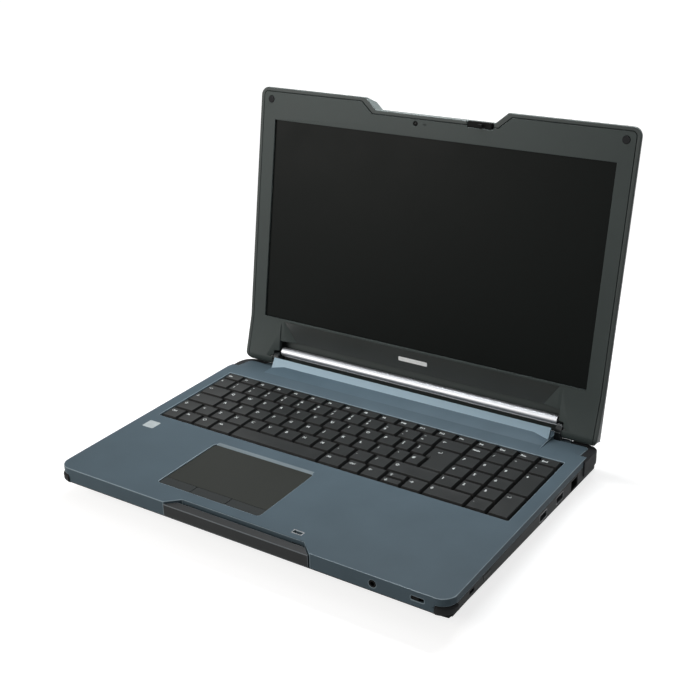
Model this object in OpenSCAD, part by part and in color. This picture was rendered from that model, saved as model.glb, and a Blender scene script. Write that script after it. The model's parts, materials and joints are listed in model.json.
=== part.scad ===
// Rugged notebook computer: a base with its keyboard, a lid with its display,
// and the hinge that joins them.
// Base pieces are written with x to the right, y back from the front edge and z up from the table.
// Lid pieces are written upright, with x to the right,
// y towards the lid's back and z up from the hinge axis.

/* [Base housing] */
// Width of the base across its side walls
base_w = 382; // [376:1:392]
// Depth of the base from its front edge to its rear wall
base_d = 272; // [268:1:282]
// Height of the palm rest above the table
deck_h = 30; // [29:0.5:34]
// Height of the rubber feet
foot_h = 3; // [2:0.5:4]
// Thickness of the side walls
case_wall = 2.2; // [1.8:0.1:2.6]
// Thickness of the bottom case's floor
floor_t = 2; // [1.6:0.1:2.4]
// Thickness of the top case's plate
deck_t = 2.2; // [1.8:0.1:2.6]
// Plan radius of the four corners
corner_r = 12; // [10:0.5:14]
// How far the top case reaches down the side walls
skirt_h = 7; // [6:0.5:8]
// How far the top case reaches down the front
front_skirt_h = 13.2; // [11:0.2:13.4]
// Height left between the deck and the lower edge of the side wall at the front
front_edge_h = 13.5; // [13.4:0.1:14.5]
// Angle at which the side wall's lower edge drops towards the rear
wedge_angle = 1.6; // [1:0.1:1.8]
// How far the bottom pan is set in from the side walls
pan_side_inset = 8; // [6:0.5:12]
// How far the bottom pan is set in from the front edge
pan_front_inset = 20; // [16:1:22]
// How far the bottom pan is set in from the rear wall
pan_rear_inset = 4; // [3:0.5:8]

/* [Corner bumpers] */
// Depth of the bumpers, in from the walls
bumper_t = 6.5; // [5:0.5:7]
// How far the bumpers stand out from the walls
bumper_proud = 1.2; // [0.8:0.1:1.6]
// Length of the rear bumpers along the side
bumper_rear_len = 36; // [30:1:40]
// Reach of the rear bumpers along the rear wall
bumper_rear_reach = 25; // [20:1:28]
// Length of the front bumpers along the side and front
bumper_front_len = 12; // [10:0.5:14]

/* [Hinge] */
// Height of the hinge axis above the deck
hinge_rise = 2.9; // [2.6:0.1:3.4]
// How far the hinge axis lies behind the rear wall
hinge_back = 0.3; // [0:0.1:1]
// Angle between the open lid and the upright
lid_tilt = 9.94; // [0:0.5:30]
// Radius of the hinge pin
pin_r = 4; // [3:0.1:4.2]
// Running clearance of the hinge pin in its bore
pin_clearance = 0.05; // [0.02:0.01:0.08]
// Distance from the hinge pin's end to the rim of the lid
pin_end_gap = 8.9; // [6:0.1:12]
// Distance from the base's side wall to the clear width between the lid's ears
ear_w = 40; // [38:0.5:44]
// Radius of the bracket's knuckle
knuckle_r = 6.3; // [5.6:0.1:6.5]
// Width of the bracket's knuckle
knuckle_w = 5.7; // [4:0.1:6]
// Outer radius of the hinge arm's barrel
barrel_r = 5.5; // [5:0.1:5.7]
// Radius of the ear that covers the barrel
ear_r = 7; // [6.8:0.1:7.4]
// Height to which the ear slopes up the bezel
ear_rise = 38; // [30:1:38]

/* [Lid] */
// How far the lid's sides lie in from the base's side walls
lid_side_in = 0.5; // [0:0.1:2]
// Thickness of the lid
lid_t = 13; // [12.5:0.5:15]
// Gap between the closed lid and the deck
lid_gap = 1; // [0.8:0.1:1.4]
// How far the closed lid stays back from the front edge
lid_setback = 6; // [4:0.5:10]
// Corner radius of the lid
lid_corner_r = 8; // [6:0.5:9]
// Width of the rim around the bezel
rim_w = 3.7; // [3:0.1:4.5]
// How far the lid narrows towards its back on each side
lid_taper = 4; // [2:0.5:6]
// Thickness of the lid's back wall
lid_back_t = 2; // [1.6:0.1:2.4]
// Thickness of the bezel
bezel_t = 1.8; // [1.4:0.1:2]
// Depth of the step in the lid's top edge
notch_depth = 10.3; // [8:0.1:11]
// Half width of the step at the top edge
notch_half_top = 72; // [68:0.5:76]
// Half width of the step at its floor
notch_half_floor = 60; // [56:0.5:64]

/* [Display] */
// Width of the lid's rim and bezel beside the screen
screen_side = 17.6; // [16:0.1:22]
// Distance from the opening in the bezel to the lid's top edge
screen_top = 30.2; // [28.5:0.1:34]
// Height of the opening's lower edge above the hinge axis
screen_rise = 41; // [40:0.5:43]
// How far the display panel reaches behind the bezel
panel_lap = 3.2; // [2:0.1:4]
// Thickness of the display panel
panel_t = 3.6; // [3:0.1:4]

/* [Hinge bar and panel] */
// Diameter of the bright bar
bar_d = 9; // [8:0.5:9]
// Gap at each end of the bar and of the cover on the deck
end_gap = 1; // [0.6:0.1:3]
// Height of the bar's centre above the hinge axis
bar_rise = 7; // [6.8:0.1:7.5]
// Distance from the glossy panel's upper corners to the ears
recess_side = 2.5; // [1.5:0.1:6]
// How far the glossy panel's sides draw in towards its foot
recess_slant = 14.5; // [8:0.5:20]
// Depth of the glossy panel's foot below the bezel
recess_depth = 4.2; // [3.6:0.1:4.6]
// Height of the glossy panel's foot above the hinge axis
recess_foot_rise = 18.5; // [18.2:0.1:20]
// Height of the glossy panel's top edge above the hinge axis
recess_top_rise = 39; // [38:0.2:39.4]
// Thickness of the glossy panel
gloss_t = 0.8; // [0.6:0.1:1]

/* [Hinge cover on the deck] */
// Height of the cover's rear edge above the deck
hump_h = 8.8; // [7:0.1:9]
// Height of the cover's front ramp
hump_ramp_h = 3; // [2:0.1:3]
// Distance from the rear wall to the back of the cover
hump_back = 11.7; // [11.5:0.1:13]
// Depth of the cover's steep face
hump_face_d = 6; // [5:0.1:6.2]
// Depth of the cover's front ramp
hump_ramp_d = 15; // [10:0.5:16]
// Length of the sloped ends of the ramp
hump_end = 15; // [10:0.5:18]
// Thickness of the cover's wall
hump_wall = 1.4; // [1:0.1:1.6]

/* [Keyboard] */
// Pitch of the full keys along a row
key_pitch = 19.05; // [18.9:0.05:19.15]
// Pitch of the number pad's columns
pad_pitch = 19.65; // [19:0.05:19.8]
// Pitch of the rows
row_pitch = 18.4; // [17.8:0.1:18.6]
// Depth of the function row
function_row_d = 12.8; // [11:0.1:14]
// Distance from the front edge to the lowest row of keys
keys_front = 118; // [114:0.5:122]
// Width of the main block of keys
main_block_w = 277.2; // [276:0.2:278]
// Gap between neighbouring key caps at their foot
key_gap = 0.9; // [0.6:0.1:1.4]
// How far the keys' top faces are set in from their foot
key_bevel = 1.5; // [0.8:0.1:2]
// Height of a key cap
key_h = 3.3; // [2.8:0.1:3.4]
// How far the keys stand above the deck
key_proud = 0.5; // [0:0.1:0.6]
// Travel of a key
key_travel = 2.2; // [1.5:0.1:2.3]
// Width of the square guide stem under each key
stem_w = 6; // [4:0.5:7]
// Clearance around the guide stems
stem_clearance = 0.3; // [0.2:0.05:0.4]
// Margin between the keys and the edge of their opening
keys_margin = 1; // [0.6:0.1:1.4]
// Thickness of the keyboard's tray
tray_t = 1.4; // [1:0.1:1.6]
// Width of the rim that carries the tray
tray_rim = 2.4; // [2:0.1:3]
// Width of the two narrow keys beside the enter key
narrow_key_w = 15.3; // [15:0.1:16]
// Width of the tab key
tab_w = 28; // [27:0.2:29]
// Width of the capitals key
caps_w = 33; // [32:0.2:33.6]
// Width of the left shift key
left_shift_w = 22.8; // [21:0.2:24]
// Width of the left control key
control_w = 18.2; // [17:0.2:19]
// Width of the key left of the space bar
alt_w = 24; // [22:0.2:25]
// Width of the space bar
space_w = 94.5; // [90:0.5:96]
// Width of the key right of the space bar
alt_right_w = 23.2; // [22:0.2:24]

/* [Touchpad] */
// Width of the touchpad's opening
pad_w = 105.6; // [96:0.2:110]
// Depth of the touchpad's opening, buttons included
pad_d = 76.6; // [70:0.2:80]
// Distance from the front edge to the touchpad's opening
pad_front = 22.6; // [21:0.2:25]
// Distance from the centre line to the touchpad's right edge
pad_right = 8.2; // [0:0.2:12]
// Depth of the touchpad's buttons
button_d = 10.8; // [9:0.2:13]
// Recess of the touchpad below the deck
pad_recess = 0.8; // [0.6:0.1:1]
// Travel of the touchpad's buttons
button_travel = 0.5; // [0.3:0.05:0.5]
// Width of the sloped edge behind the touchpad
pad_bevel = 3.3; // [2:0.1:4]

/* [Carry handle] */
// Half width of the handle's notch at the front edge
handle_half_front = 72; // [68:0.5:76]
// Half width of the handle's notch at its rear wall
handle_half_rear = 60.5; // [58:0.5:64]
// Depth of the handle's notch
handle_notch_d = 10.8; // [9.8:0.1:11.2]
// Depth of the handle's bar
handle_bar_d = 8.4; // [7:0.1:8.6]
// Height of the handle's bar
handle_bar_h = 11.2; // [9:0.1:11.2]
// Drop of the bar's top below the deck
handle_drop = 1.6; // [1.4:0.1:2.2]
// How far the bar stands out from the front
handle_proud = 1; // [0.5:0.1:1.5]
// Travel of the handle
handle_travel = 24; // [20:1:26]
// Distance of the handle's arms from the centre line
arm_x = 53; // [50:0.5:53]
// Width of the handle's arms
arm_w = 10; // [8:0.5:10]
// Thickness of the handle's arms
arm_t = 3.5; // [2.5:0.1:3.6]

/* [Latch] */
// Distance of the latch from the centre line
latch_x = 46.5; // [44:0.5:48]
// Width of the latch's window
latch_w = 26; // [22:0.5:28]
// Height of the latch's window below the step's floor
latch_window_h = 5.7; // [5:0.1:6.5]
// Width of the latch's hook
hook_w = 3.4; // [3:0.1:4]
// How far the hook stands out of the lid
hook_reach = 3.6; // [2.6:0.1:3.8]
// Travel of the latch
latch_travel = 2.5; // [1.5:0.1:3]

/* [Sockets] */
// Radius of the headset socket's bore
headset_r = 1.8; // [1.75:0.01:1.9]
// Length of the headset socket's bore
headset_len = 14; // [12:0.5:15]
// Width of the serial-bus sockets' mouth
usb_w = 13.1; // [12.5:0.1:13.5]
// Height of the serial-bus sockets' mouth
usb_h = 5.7; // [5.2:0.1:5.9]
// Width of the network socket's mouth
network_w = 11.8; // [11.5:0.1:12.5]
// Height of the network socket's mouth
network_h = 8; // [7:0.1:8.2]
// Width of the rear plug sockets' mouth
rear_mouth_w = 17.2; // [16:0.1:18]
// Height of the rear plug sockets' mouth
rear_mouth_h = 7; // [6:0.1:7.4]
// Width of the power socket's mouth
power_w = 11; // [10:0.1:12]
// Height of the power socket's mouth
power_h = 5; // [4.6:0.1:5.5]

/* [Inside] */
// Width of the storage drive
storage_w = 70; // [66:0.5:72]
// Depth of the storage drive
storage_d = 100; // [90:1:101]
// Height of the storage drive
storage_h = 7; // [5:0.5:9.5]
// Distance from the right side wall to the storage drive
storage_side = 18.5; // [18:0.5:24]
// Distance from the front edge to the storage drive
storage_front = 26; // [24:1:27]
// Distance from the left side wall to the battery pack
battery_side = 87; // [80:1:100]
// Distance from the front edge to the battery pack
battery_front = 27; // [26:0.5:30]
// Depth of the battery pack
battery_d = 70; // [60:1:70]
// Height of the battery pack
battery_h = 16; // [14:0.5:16]
// Gap between neighbouring pieces inside
piece_gap = 2.5; // [2:0.1:4]
// Width of the optical drive
drive_w = 126; // [120:1:128]
// Depth of the optical drive
drive_d = 124; // [123:0.5:126]
// Height of the optical drive
drive_h = 9.4; // [9:0.1:9.5]
// Distance from the left side wall to the optical drive's case
drive_side = 6.6; // [6.4:0.1:8]
// Distance from the front edge to the optical drive
drive_front = 104; // [101:1:106]
// Wall of the optical drive's case
drive_wall = 1.6; // [1:0.1:1.8]
// Travel of the drive's tray
tray_travel = 110; // [80:5:115]
// Width of the cover over the memory modules
service_w = 100; // [90:1:104]
// Depth of the cover over the memory modules
service_d = 70; // [66:1:72]
// Distance from the right side wall to that cover
service_side = 25; // [22:1:28]
// Distance from the front edge to that cover
service_front = 134; // [133:1:136]
// Width of a memory module's socket
memory_w = 70; // [68:0.5:72]
// Distance between the memory modules
memory_pitch = 32; // [30:0.5:32]
// Half width of the fan's housing
fan_half = 27; // [26.4:0.2:28]
// Height of the fan's housing
fan_h = 9.6; // [8:0.1:10]
// Distance from the base's rear wall to the fan's axis
fan_rear = 46; // [44:0.5:48]
// Gap between the fan's housing and the optical drive
fan_gap = 9.4; // [8:0.2:12]
// Radius of the fan's rotor
rotor_r = 24; // [20:0.5:25]
// Radius of the fan's hub
hub_r = 9; // [7:0.5:10]
// Number of the fan's blades
blade_count = 17; // [11:1:23]
// Radius of the heat pipe
pipe_r = 2.6; // [2:0.1:3]
// Distance from the fan's housing to the heat pipe
pipe_gap = 25; // [23:0.5:27]
// Radius of the heat pipe's bend
pipe_bend = 10; // [8:0.5:12]
// Distance from the front edge to the main circuit board
board_front = 128; // [127:0.5:129]
// Distance from the base's rear wall to the board's straight rear edge
board_rear = 36; // [35:0.5:37]
// Thickness of the main circuit board
board_t = 1.6; // [1.2:0.1:2]
// Height of the board's standoffs above the floor
standoff_h = 7; // [6.5:0.1:7.4]
// Gap between the sockets at the rear
rear_gap = 10; // [6:0.5:10]

/* [Hidden] */
$fn = 48;
far = 600;
half_w = base_w / 2;
seat_gap = 0.3;

// Heights of the base
deck_under = deck_h - deck_t;
seam_z = deck_h - skirt_h;
front_seam_z = deck_h - front_skirt_h;
side_edge_z = deck_h - front_edge_h;
floor_z = foot_h + floor_t;

// Hinge axis and the lid's local planes
hinge_y = base_d + hinge_back;
hinge_z = deck_h + hinge_rise;
lid_in = lid_gap - hinge_rise;
lid_out = lid_in + lid_t;
lid_half = half_w - lid_side_in;
screen_w = 2 * (lid_half - screen_side);
lid_top = hinge_y - lid_setback;
notch_floor = lid_top - notch_depth;
lid_foot = -6;
clear_half = half_w - ear_w;
ear_x = clear_half + 1;
hump_half = clear_half - end_gap;
bar_half = clear_half - end_gap;
recess_half_top = clear_half - recess_side;
recess_half_foot = recess_half_top - recess_slant;
ear_side = lid_half - rim_w;
knuckle_x = clear_half + 0.2;
pin_end_x = ear_side - pin_end_gap;
arm_barrel_x = knuckle_x + knuckle_w + 1.1;

// The part's own origin lies under the middle of its box
rest_back = hinge_y + (lid_top - lid_taper) * sin(lid_tilt) + lid_out * cos(lid_tilt);
rest_front = -max(handle_proud, bumper_proud);
y_origin = (rest_front + rest_back) / 2;

// Keyboard field
keys_w = main_block_w + 4 * pad_pitch;
keys_x = -keys_w / 2;
pad_x = keys_x + main_block_w;
function row_y(i) = keys_front + i * row_pitch;
keys_rear = row_y(5) + function_row_d;
cap_top = deck_h + key_proud;
cap_foot = cap_top - key_h;
tray_top = cap_foot - key_travel - 0.2;
stem_foot = tray_top - tray_t + 0.2;
key_open_x = [keys_x - keys_margin, -keys_x + keys_margin];
key_open_y = [keys_front - keys_margin, keys_rear + keys_margin];

// Clear height left for the pieces under the keys
under_keys = stem_foot - key_travel - 0.3;

// Battery bay, storage, optical drive and cover on the bottom
storage_x = [half_w - storage_side - storage_w, half_w - storage_side];
battery_x = [-half_w + battery_side, storage_x[0] - piece_gap];
battery_y = [battery_front, battery_front + battery_d];
bay_clearance = 0.4;
drive_x = [-half_w + drive_side, -half_w + drive_side + drive_w];
drive_y = [drive_front, drive_front + drive_d];
drive_z = [under_keys - 0.2 - drive_h, under_keys - 0.2];
drive_mouth_y = [drive_y[0] + drive_wall, drive_y[1] - drive_wall];
drive_mouth_z = [max(drive_z[0] + 1.2, side_edge_z - 2.6), drive_z[1] - 1];
service_x = [half_w - service_side - service_w, half_w - service_side];
service_y = [service_front, service_front + service_d];
service_lip = 4;

// Fan, its fins and the pipe that runs to them
fan_x = drive_x[1] + fan_gap + fan_half;
fan_y = base_d - fan_rear;
fan_z = [floor_z, floor_z + fan_h];
fins_y = [fan_y + fan_half + 0.6, base_d - case_wall - pan_rear_inset - 0.2];
fins_z = [floor_z, floor_z + fan_h - 0.1];
fin_count = 13;
pipe_x = fan_x + fan_half + pipe_gap;
pipe_y = (fins_y[0] + fins_y[1]) / 2;
pipe_z = fins_z[1] + 0.05 + pipe_r;

// Main board
board_x = [drive_x[1] + piece_gap - 0.1, half_w - pan_side_inset - 1];
board_y = [board_front, base_d - board_rear];
board_z = [floor_z + standoff_h, floor_z + standoff_h + board_t];
board_top = board_z[1];

// ---------- helpers ----------

function grown(s, by) = [s[0] - by, s[1] + by];

module block(x, y, z)
    translate([x[0], y[0], z[0]]) cube([x[1] - x[0], y[1] - y[0], z[1] - z[0]]);

module rounded_rect(x, y, r) {
    translate([x[0] + r, y[0]]) square([x[1] - x[0] - 2 * r, y[1] - y[0]]);
    translate([x[0], y[0] + r]) square([x[1] - x[0], y[1] - y[0] - 2 * r]);
    for (cx = [x[0] + r, x[1] - r])
        for (cy = [y[0] + r, y[1] - r])
            translate([cx, cy]) circle(r);
}

module slab(x, y, z, r)
    translate([0, 0, z[0]]) linear_extrude(z[1] - z[0]) rounded_rect(x, y, r);

// Extrudes an outline of (y, z) points along x
module along_x(x)
    translate([x[0], 0, 0]) rotate([90, 0, 90]) linear_extrude(x[1] - x[0]) children();

// Extrudes an outline of (x, z) points along y
module along_y(y)
    translate([0, y[1], 0]) rotate([90, 0, 0]) linear_extrude(y[1] - y[0]) children();

// A round bar along y and one along x
module rod_y(x, y, z, r)
    translate([x, y[1], z]) rotate([90, 0, 0]) cylinder(h = y[1] - y[0], r = r);

module rod_x(x, y, z, r)
    translate([x[0], y, z]) rotate([0, 90, 0]) cylinder(h = x[1] - x[0], r = r);

module both_sides() {
    children();
    mirror([1, 0, 0]) children();
}

module in_base()
    translate([0, -y_origin, 0]) children();

module in_lid()
    translate([0, hinge_y - y_origin, hinge_z]) rotate([-lid_tilt, 0, 0]) children();

// ---------- base housing ----------

// The outer form of the base, or the same form drawn in by a wall and a floor
module base_form(wall, floor, top) {
    half = half_w - wall;
    pan = half - pan_side_inset;
    drop = pan_side_inset * 1.1;
    intersection() {
        slab([-half, half], [wall, base_d - wall], [0, top], corner_r - wall);
        translate([0, 0, side_edge_z + floor]) rotate([-wedge_angle, 0, 0])
            along_y([-far, far]) polygon([[-half, far], [-half, 0], [-pan, -drop], [-pan, -far],
                [pan, -far],
                [pan, -drop], [half, 0], [half, far]]);
        along_x([-far, far]) polygon([[wall, far], [wall, side_edge_z + floor],
            [wall + pan_front_inset, foot_h + floor], [base_d - wall - pan_rear_inset, foot_h + floor],
            [base_d - wall, foot_h + floor + pan_rear_inset], [base_d - wall, far]]);
    }
}

// Plan region of the bumpers: a band that follows the outline around each corner
module bumper_band(proud) {
    difference() {
        rounded_rect([-half_w - proud, half_w + proud], [-proud, base_d + proud], corner_r + proud);
        rounded_rect([-half_w + bumper_t, half_w - bumper_t], [bumper_t, base_d - bumper_t],
            corner_r - bumper_t);
    }
}

// Corner cells of the bumpers, on the right; z is the span of their height
rear_bumper_z = [side_edge_z - 4.2, deck_h - 1];
front_bumper_z = [front_seam_z - 1.3, deck_h - 6.5];
module rear_cell(z)
    block([half_w - bumper_rear_reach, far], [base_d - bumper_rear_len, far], z);
module front_cell(z)
    block([half_w - bumper_front_len, far], [-far, bumper_front_len], z);

module bumper_cells() {
    both_sides() rear_cell(rear_bumper_z);
    both_sides() front_cell(front_bumper_z);
}

module bumper_space()
    intersection() {
        bumper_cells();
        linear_extrude(deck_h) bumper_band(far / 20);
    }

// Solid corners that back the bumpers
corner_back = bumper_t + 2;
module corner_blocks() {
    both_sides() block([half_w - corner_back, far], [base_d - bumper_rear_len - 2, far], [0, far]);
    both_sides() block([half_w - bumper_rear_reach - 2, far], [base_d - corner_back, far], [0, far]);
    both_sides() block([half_w - bumper_front_len - 2, far], [-far, corner_back], [0, far]);
    both_sides() block([half_w - corner_back, far], [-far, bumper_front_len + 2], [0, far]);
}

module base_hollow(top)
    difference() {
        base_form(case_wall, floor_t, top);
        corner_blocks();
    }

// The deck falls away at its rear corners to clear the lid's ears
ear_fall = 4.8;
ear_fall_y = hinge_y - ear_rise + 1.7;
module ear_fall_cut()
    both_sides() along_x([ear_x - 1.1, far])
        polygon([[ear_fall_y, deck_h], [base_d + far, deck_h - ear_fall * (base_d + far - ear_fall_y)
            / (base_d - ear_fall_y)], [base_d + far, deck_h + far], [ear_fall_y, deck_h + far]]);

// Room for the bracket's neck and knuckle
neck_y = [hinge_y - 7.8, base_d - case_wall - 0.4];
module bracket_space()
    both_sides() {
        block([knuckle_x - seat_gap, knuckle_x + knuckle_w + seat_gap],
            [neck_y[0] - seat_gap, neck_y[1] + seat_gap],
            [floor_z, far]);
        rod_x([knuckle_x - seat_gap, knuckle_x + knuckle_w + seat_gap], hinge_y, hinge_z, knuckle_r + 0.5);
    }

// Carry handle's notch, as a plan outline grown by a wall
module handle_outline(wall)
    polygon([[-handle_half_front - wall, -far], [handle_half_front + wall, -far],
        [handle_half_front + wall, 0],
        [handle_half_rear + wall, handle_notch_d + wall], [-handle_half_rear - wall, handle_notch_d + wall],
        [-handle_half_front - wall, 0]]);

arm_z = [deck_under - 2.3 - arm_t, deck_under - 2.3];
module arm_space(y)
    both_sides() block([arm_x - arm_w / 2 - seat_gap, arm_x + arm_w / 2 + seat_gap], y,
        [arm_z[0] - seat_gap, arm_z[1] + seat_gap]);

arm_guide_y = [handle_notch_d, pad_front - 1.1];

// Places of the case screws, and the bosses that take them
screw_r = 1.5;
screw_clearance = 0.05;
boss_r = 3.4;
screw_places = [[-half_w + 30, 96], [half_w - 13, 104], [-half_w + 24, 238], [half_w - 24, 244],
    [battery_x[0] - 4.5, battery_y[0] - 4], [storage_x[0] + 3.5, storage_front - 5],
    [fan_x - fan_half - 15, base_d - 10], [pipe_x + 6, base_d - 8]];
screw_thread = 8;

module screw_bosses()
    for (p = screw_places)
        translate([p[0], p[1], seam_z - 9]) cylinder(h = deck_under - seam_z + 9, r = boss_r);

module screw_bores()
    for (p = screw_places)
        translate([p[0], p[1], seam_z - 10]) cylinder(h = screw_thread + 1, r = screw_r + screw_clearance);

latch_z = notch_floor - 3;
keeper_y = hinge_y - latch_z;
keeper_d = 3.4;

module top_case() color("slategray") in_base()
    difference() {
        union() {
            difference() {
                base_form(0, 0, deck_h);
                difference() {
                    translate([0, 0, -far]) base_hollow_plan(far + deck_under);
                    corner_blocks();
                    both_sides() block([ear_x - 1.6, far], [ear_fall_y - 4, far], [0, far]);
                }
                block([-far, far], [corner_r, far], [-far, seam_z]);
                block([-far, far], [-far, far], [-far, front_seam_z]);
                block([-half_w + case_wall, half_w - case_wall], [case_wall, corner_r + 1], [-far, seam_z]);
            }
            intersection() {
                linear_extrude(deck_under + 1) handle_outline(case_wall);
                block([-far, far], [0.5, far], [front_seam_z, deck_under + 1]);
            }
            both_sides() block([arm_x - arm_w / 2 - 2.6, arm_x + arm_w / 2 + 2.6], arm_guide_y,
                [arm_z[0] - 2, deck_under + 1]);
            screw_bosses();
        }
        bumper_space();
        ear_fall_cut();
        bracket_space();
        slab(key_open_x, key_open_y, [deck_under - 1, far], 1.5);
        slab(pad_span, pad_open_y, [deck_under - 1, far], pad_corner_r);
        along_x(grown(pad_span, -2)) polygon([[pad_open_y[1] - 1, deck_h - 1.2],
            [pad_open_y[1], deck_h - 1.2],
            [pad_open_y[1] + pad_bevel, deck_h + 0.01], [pad_open_y[1] - 1, deck_h + 0.01]]);
        linear_extrude(far) handle_outline(0);
        arm_space([0, far / 4]);
        block(keeper_x, [keeper_y - keeper_d / 2, keeper_y + keeper_d / 2], [deck_under - 1, far]);
        screw_bores();
        headset_space();
        wireless_space();
        side_openings();
        rear_openings();
    }

// Straight-walled hollow under the deck
module base_hollow_plan(top)
    slab([-half_w + case_wall, half_w - case_wall], [case_wall, base_d - case_wall], [0, top],
        corner_r - case_wall);

module bottom_case() color([0.16, 0.17, 0.18]) in_base()
    difference() {
        union() {
            difference() {
                base_form(0, 0, seam_z);
                base_hollow(far);
                block([-far, far], [-far, corner_r], [front_seam_z, far]);
            }
            block(grown([-handle_half_front, handle_half_front], case_wall),
                [case_wall - 0.5, handle_notch_d + case_wall], [front_seam_z - 1.6, front_seam_z]);
            for (p = standoff_places)
                translate([p[0], p[1], foot_h + 0.5]) cylinder(h = board_z[0] - foot_h - 0.5, r = 3);
            for (p = screw_places)
                translate([p[0], p[1], foot_h + 0.5])
                    cylinder(h = seam_z - 9 - foot_h - 0.5, r = boss_r + 0.8);
            slab(grown(service_x, 3), grown(service_y, 3), [foot_h + 0.5, floor_z + 1.4], 3);
            both_sides() bracket_seats();
        }
        bumper_space();
        bracket_space();
        block(grown(battery_x, bay_clearance), grown(battery_y, bay_clearance), [0, floor_z + 1]);
        slab(service_x, service_y, [0, floor_z], 2);
        block(grown(service_x, -service_lip), grown(service_y, -service_lip), [0, far]);
        for (p = screw_places) {
            translate([p[0], p[1], 0]) cylinder(h = far, r = screw_r + 0.2);
            translate([p[0], p[1], 0]) cylinder(h = foot_h + 6, r = 3.1);
        }
        for (p = service_screws)
            translate([p[0], p[1], 0]) cylinder(h = floor_z + 1.35, r = 1.05);
        latch_slot();
        intake_slots();
        rear_vents();
        side_openings();
        rear_openings();
    }

service_screws = [for (x = grown(service_x, -6)) [x, service_y[0] + service_lip / 2]];
board_mid = service_x[0] - 8;
standoff_in = 5;
standoff_places = [[board_x[0] + standoff_in, board_y[0] + standoff_in],
    [board_x[0] + standoff_in, fan_y - fan_half - 9], [board_mid, board_y[0] + standoff_in],
    [board_mid, board_y[1] - standoff_in], [board_x[1] - 12, board_y[0] + standoff_in],
    [board_x[1] - 12, board_y[1] - standoff_in]];

// Cover strip over the hinge wiring: a gentle ramp, then a steep face with sloped ends below it
hump_y = base_d - hump_back;
module hump_profile(in)
    polygon([[hump_y - hump_face_d - 0.4 + in, deck_h - 0.01],
        [hump_y - 0.4 - in, deck_h + hump_h - in * 1.5],
        [hump_y - in, deck_h + hump_h - in * 1.5], [hump_y - in, deck_h - 0.01]]);

module ramp_profile(in)
    polygon([[hump_y - hump_face_d - hump_ramp_d + 2 + in * 6, deck_h - 0.01],
        [hump_y - hump_face_d + 2 + in, deck_h + hump_ramp_h - in],
            [hump_y - in, deck_h + hump_ramp_h - in],
        [hump_y - in, deck_h - 0.01]]);

module hump_solid(in, cut)
    intersection() {
        union() {
            along_x([-hump_half + in, hump_half - in]) hump_profile(in);
            intersection() {
                along_x([-hump_half + in, hump_half - in]) ramp_profile(in);
                along_y([0, far]) polygon([[-hump_half + in, deck_h - 0.01],
                    [-hump_half + hump_end + in, deck_h + hump_ramp_h],
                    [hump_half - hump_end - in, deck_h + hump_ramp_h],
                    [hump_half - in, deck_h - 0.01]]);
            }
        }
        block([-far, far], [-far, far], [deck_h - cut, far]);
    }

module hinge_cover() color("lightsteelblue") in_base()
    difference() {
        hump_solid(0, 0);
        translate([0, 0, -0.01]) hump_solid(hump_wall, 1);
    }

// One corner bumper: a proud band with its upper and lower edges drawn back to the wall
module bumper_shape(z, cell)
    difference() {
        intersection() {
            union() {
                translate([0, 0, z[0]]) linear_extrude(z[1] - z[0]) bumper_band(0);
                translate([0, 0, z[0] + 1.6]) linear_extrude(z[1] - z[0] - 3.2) bumper_band(bumper_proud);
            }
            children();
        }
        translate([0, 0, -0.3]) ear_fall_cut();
    }

module bumper_rear_right() color([0.1, 0.1, 0.11]) in_base()
    bumper_shape(rear_bumper_z) rear_cell(rear_bumper_z);
module bumper_rear_left() color([0.1, 0.1, 0.11]) in_base()
    mirror([1, 0, 0]) bumper_shape(rear_bumper_z) rear_cell(rear_bumper_z);
module bumper_front_right() color([0.1, 0.1, 0.11]) in_base()
    bumper_shape(front_bumper_z) front_cell(front_bumper_z);
module bumper_front_left() color([0.1, 0.1, 0.11]) in_base()
    mirror([1, 0, 0]) bumper_shape(front_bumper_z) front_cell(front_bumper_z);

foot_r = 8;
foot_side = half_w - pan_side_inset - 14;
foot_front = pan_front_inset + 12;
foot_rear = base_d - 28;
module rubber_feet() color([0.08, 0.08, 0.08]) in_base()
    for (x = [-foot_side, foot_side])
        for (y = [foot_front, foot_rear])
            translate([x, y, 0]) cylinder(h = foot_h, r = foot_r);

module case_screws() color("silver") in_base() {
    for (p = screw_places)
        translate([p[0], p[1], 0]) {
            translate([0, 0, foot_h + 5]) cylinder(h = 0.98, r = 2.8);
            translate([0, 0, foot_h + 5.9]) cylinder(h = seam_z - 10 + screw_thread - foot_h - 5.9,
                r = screw_r);
        }
    for (p = service_screws)
        translate([p[0], p[1], foot_h]) {
            cylinder(h = 0.9, r = 2);
            cylinder(h = floor_t + 1.3, r = 1);
        }
}

module service_cover() color([0.15, 0.16, 0.17]) in_base()
    difference() {
        slab(grown(service_x, -bay_clearance), grown(service_y, -bay_clearance),
            [foot_h, floor_z], 2 - bay_clearance);
        for (p = service_screws)
            translate([p[0], p[1], 0]) {
                cylinder(h = foot_h + 0.95, r = 2.1);
                cylinder(h = far, r = 1.1);
            }
    }

// ---------- carry handle ----------

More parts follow.
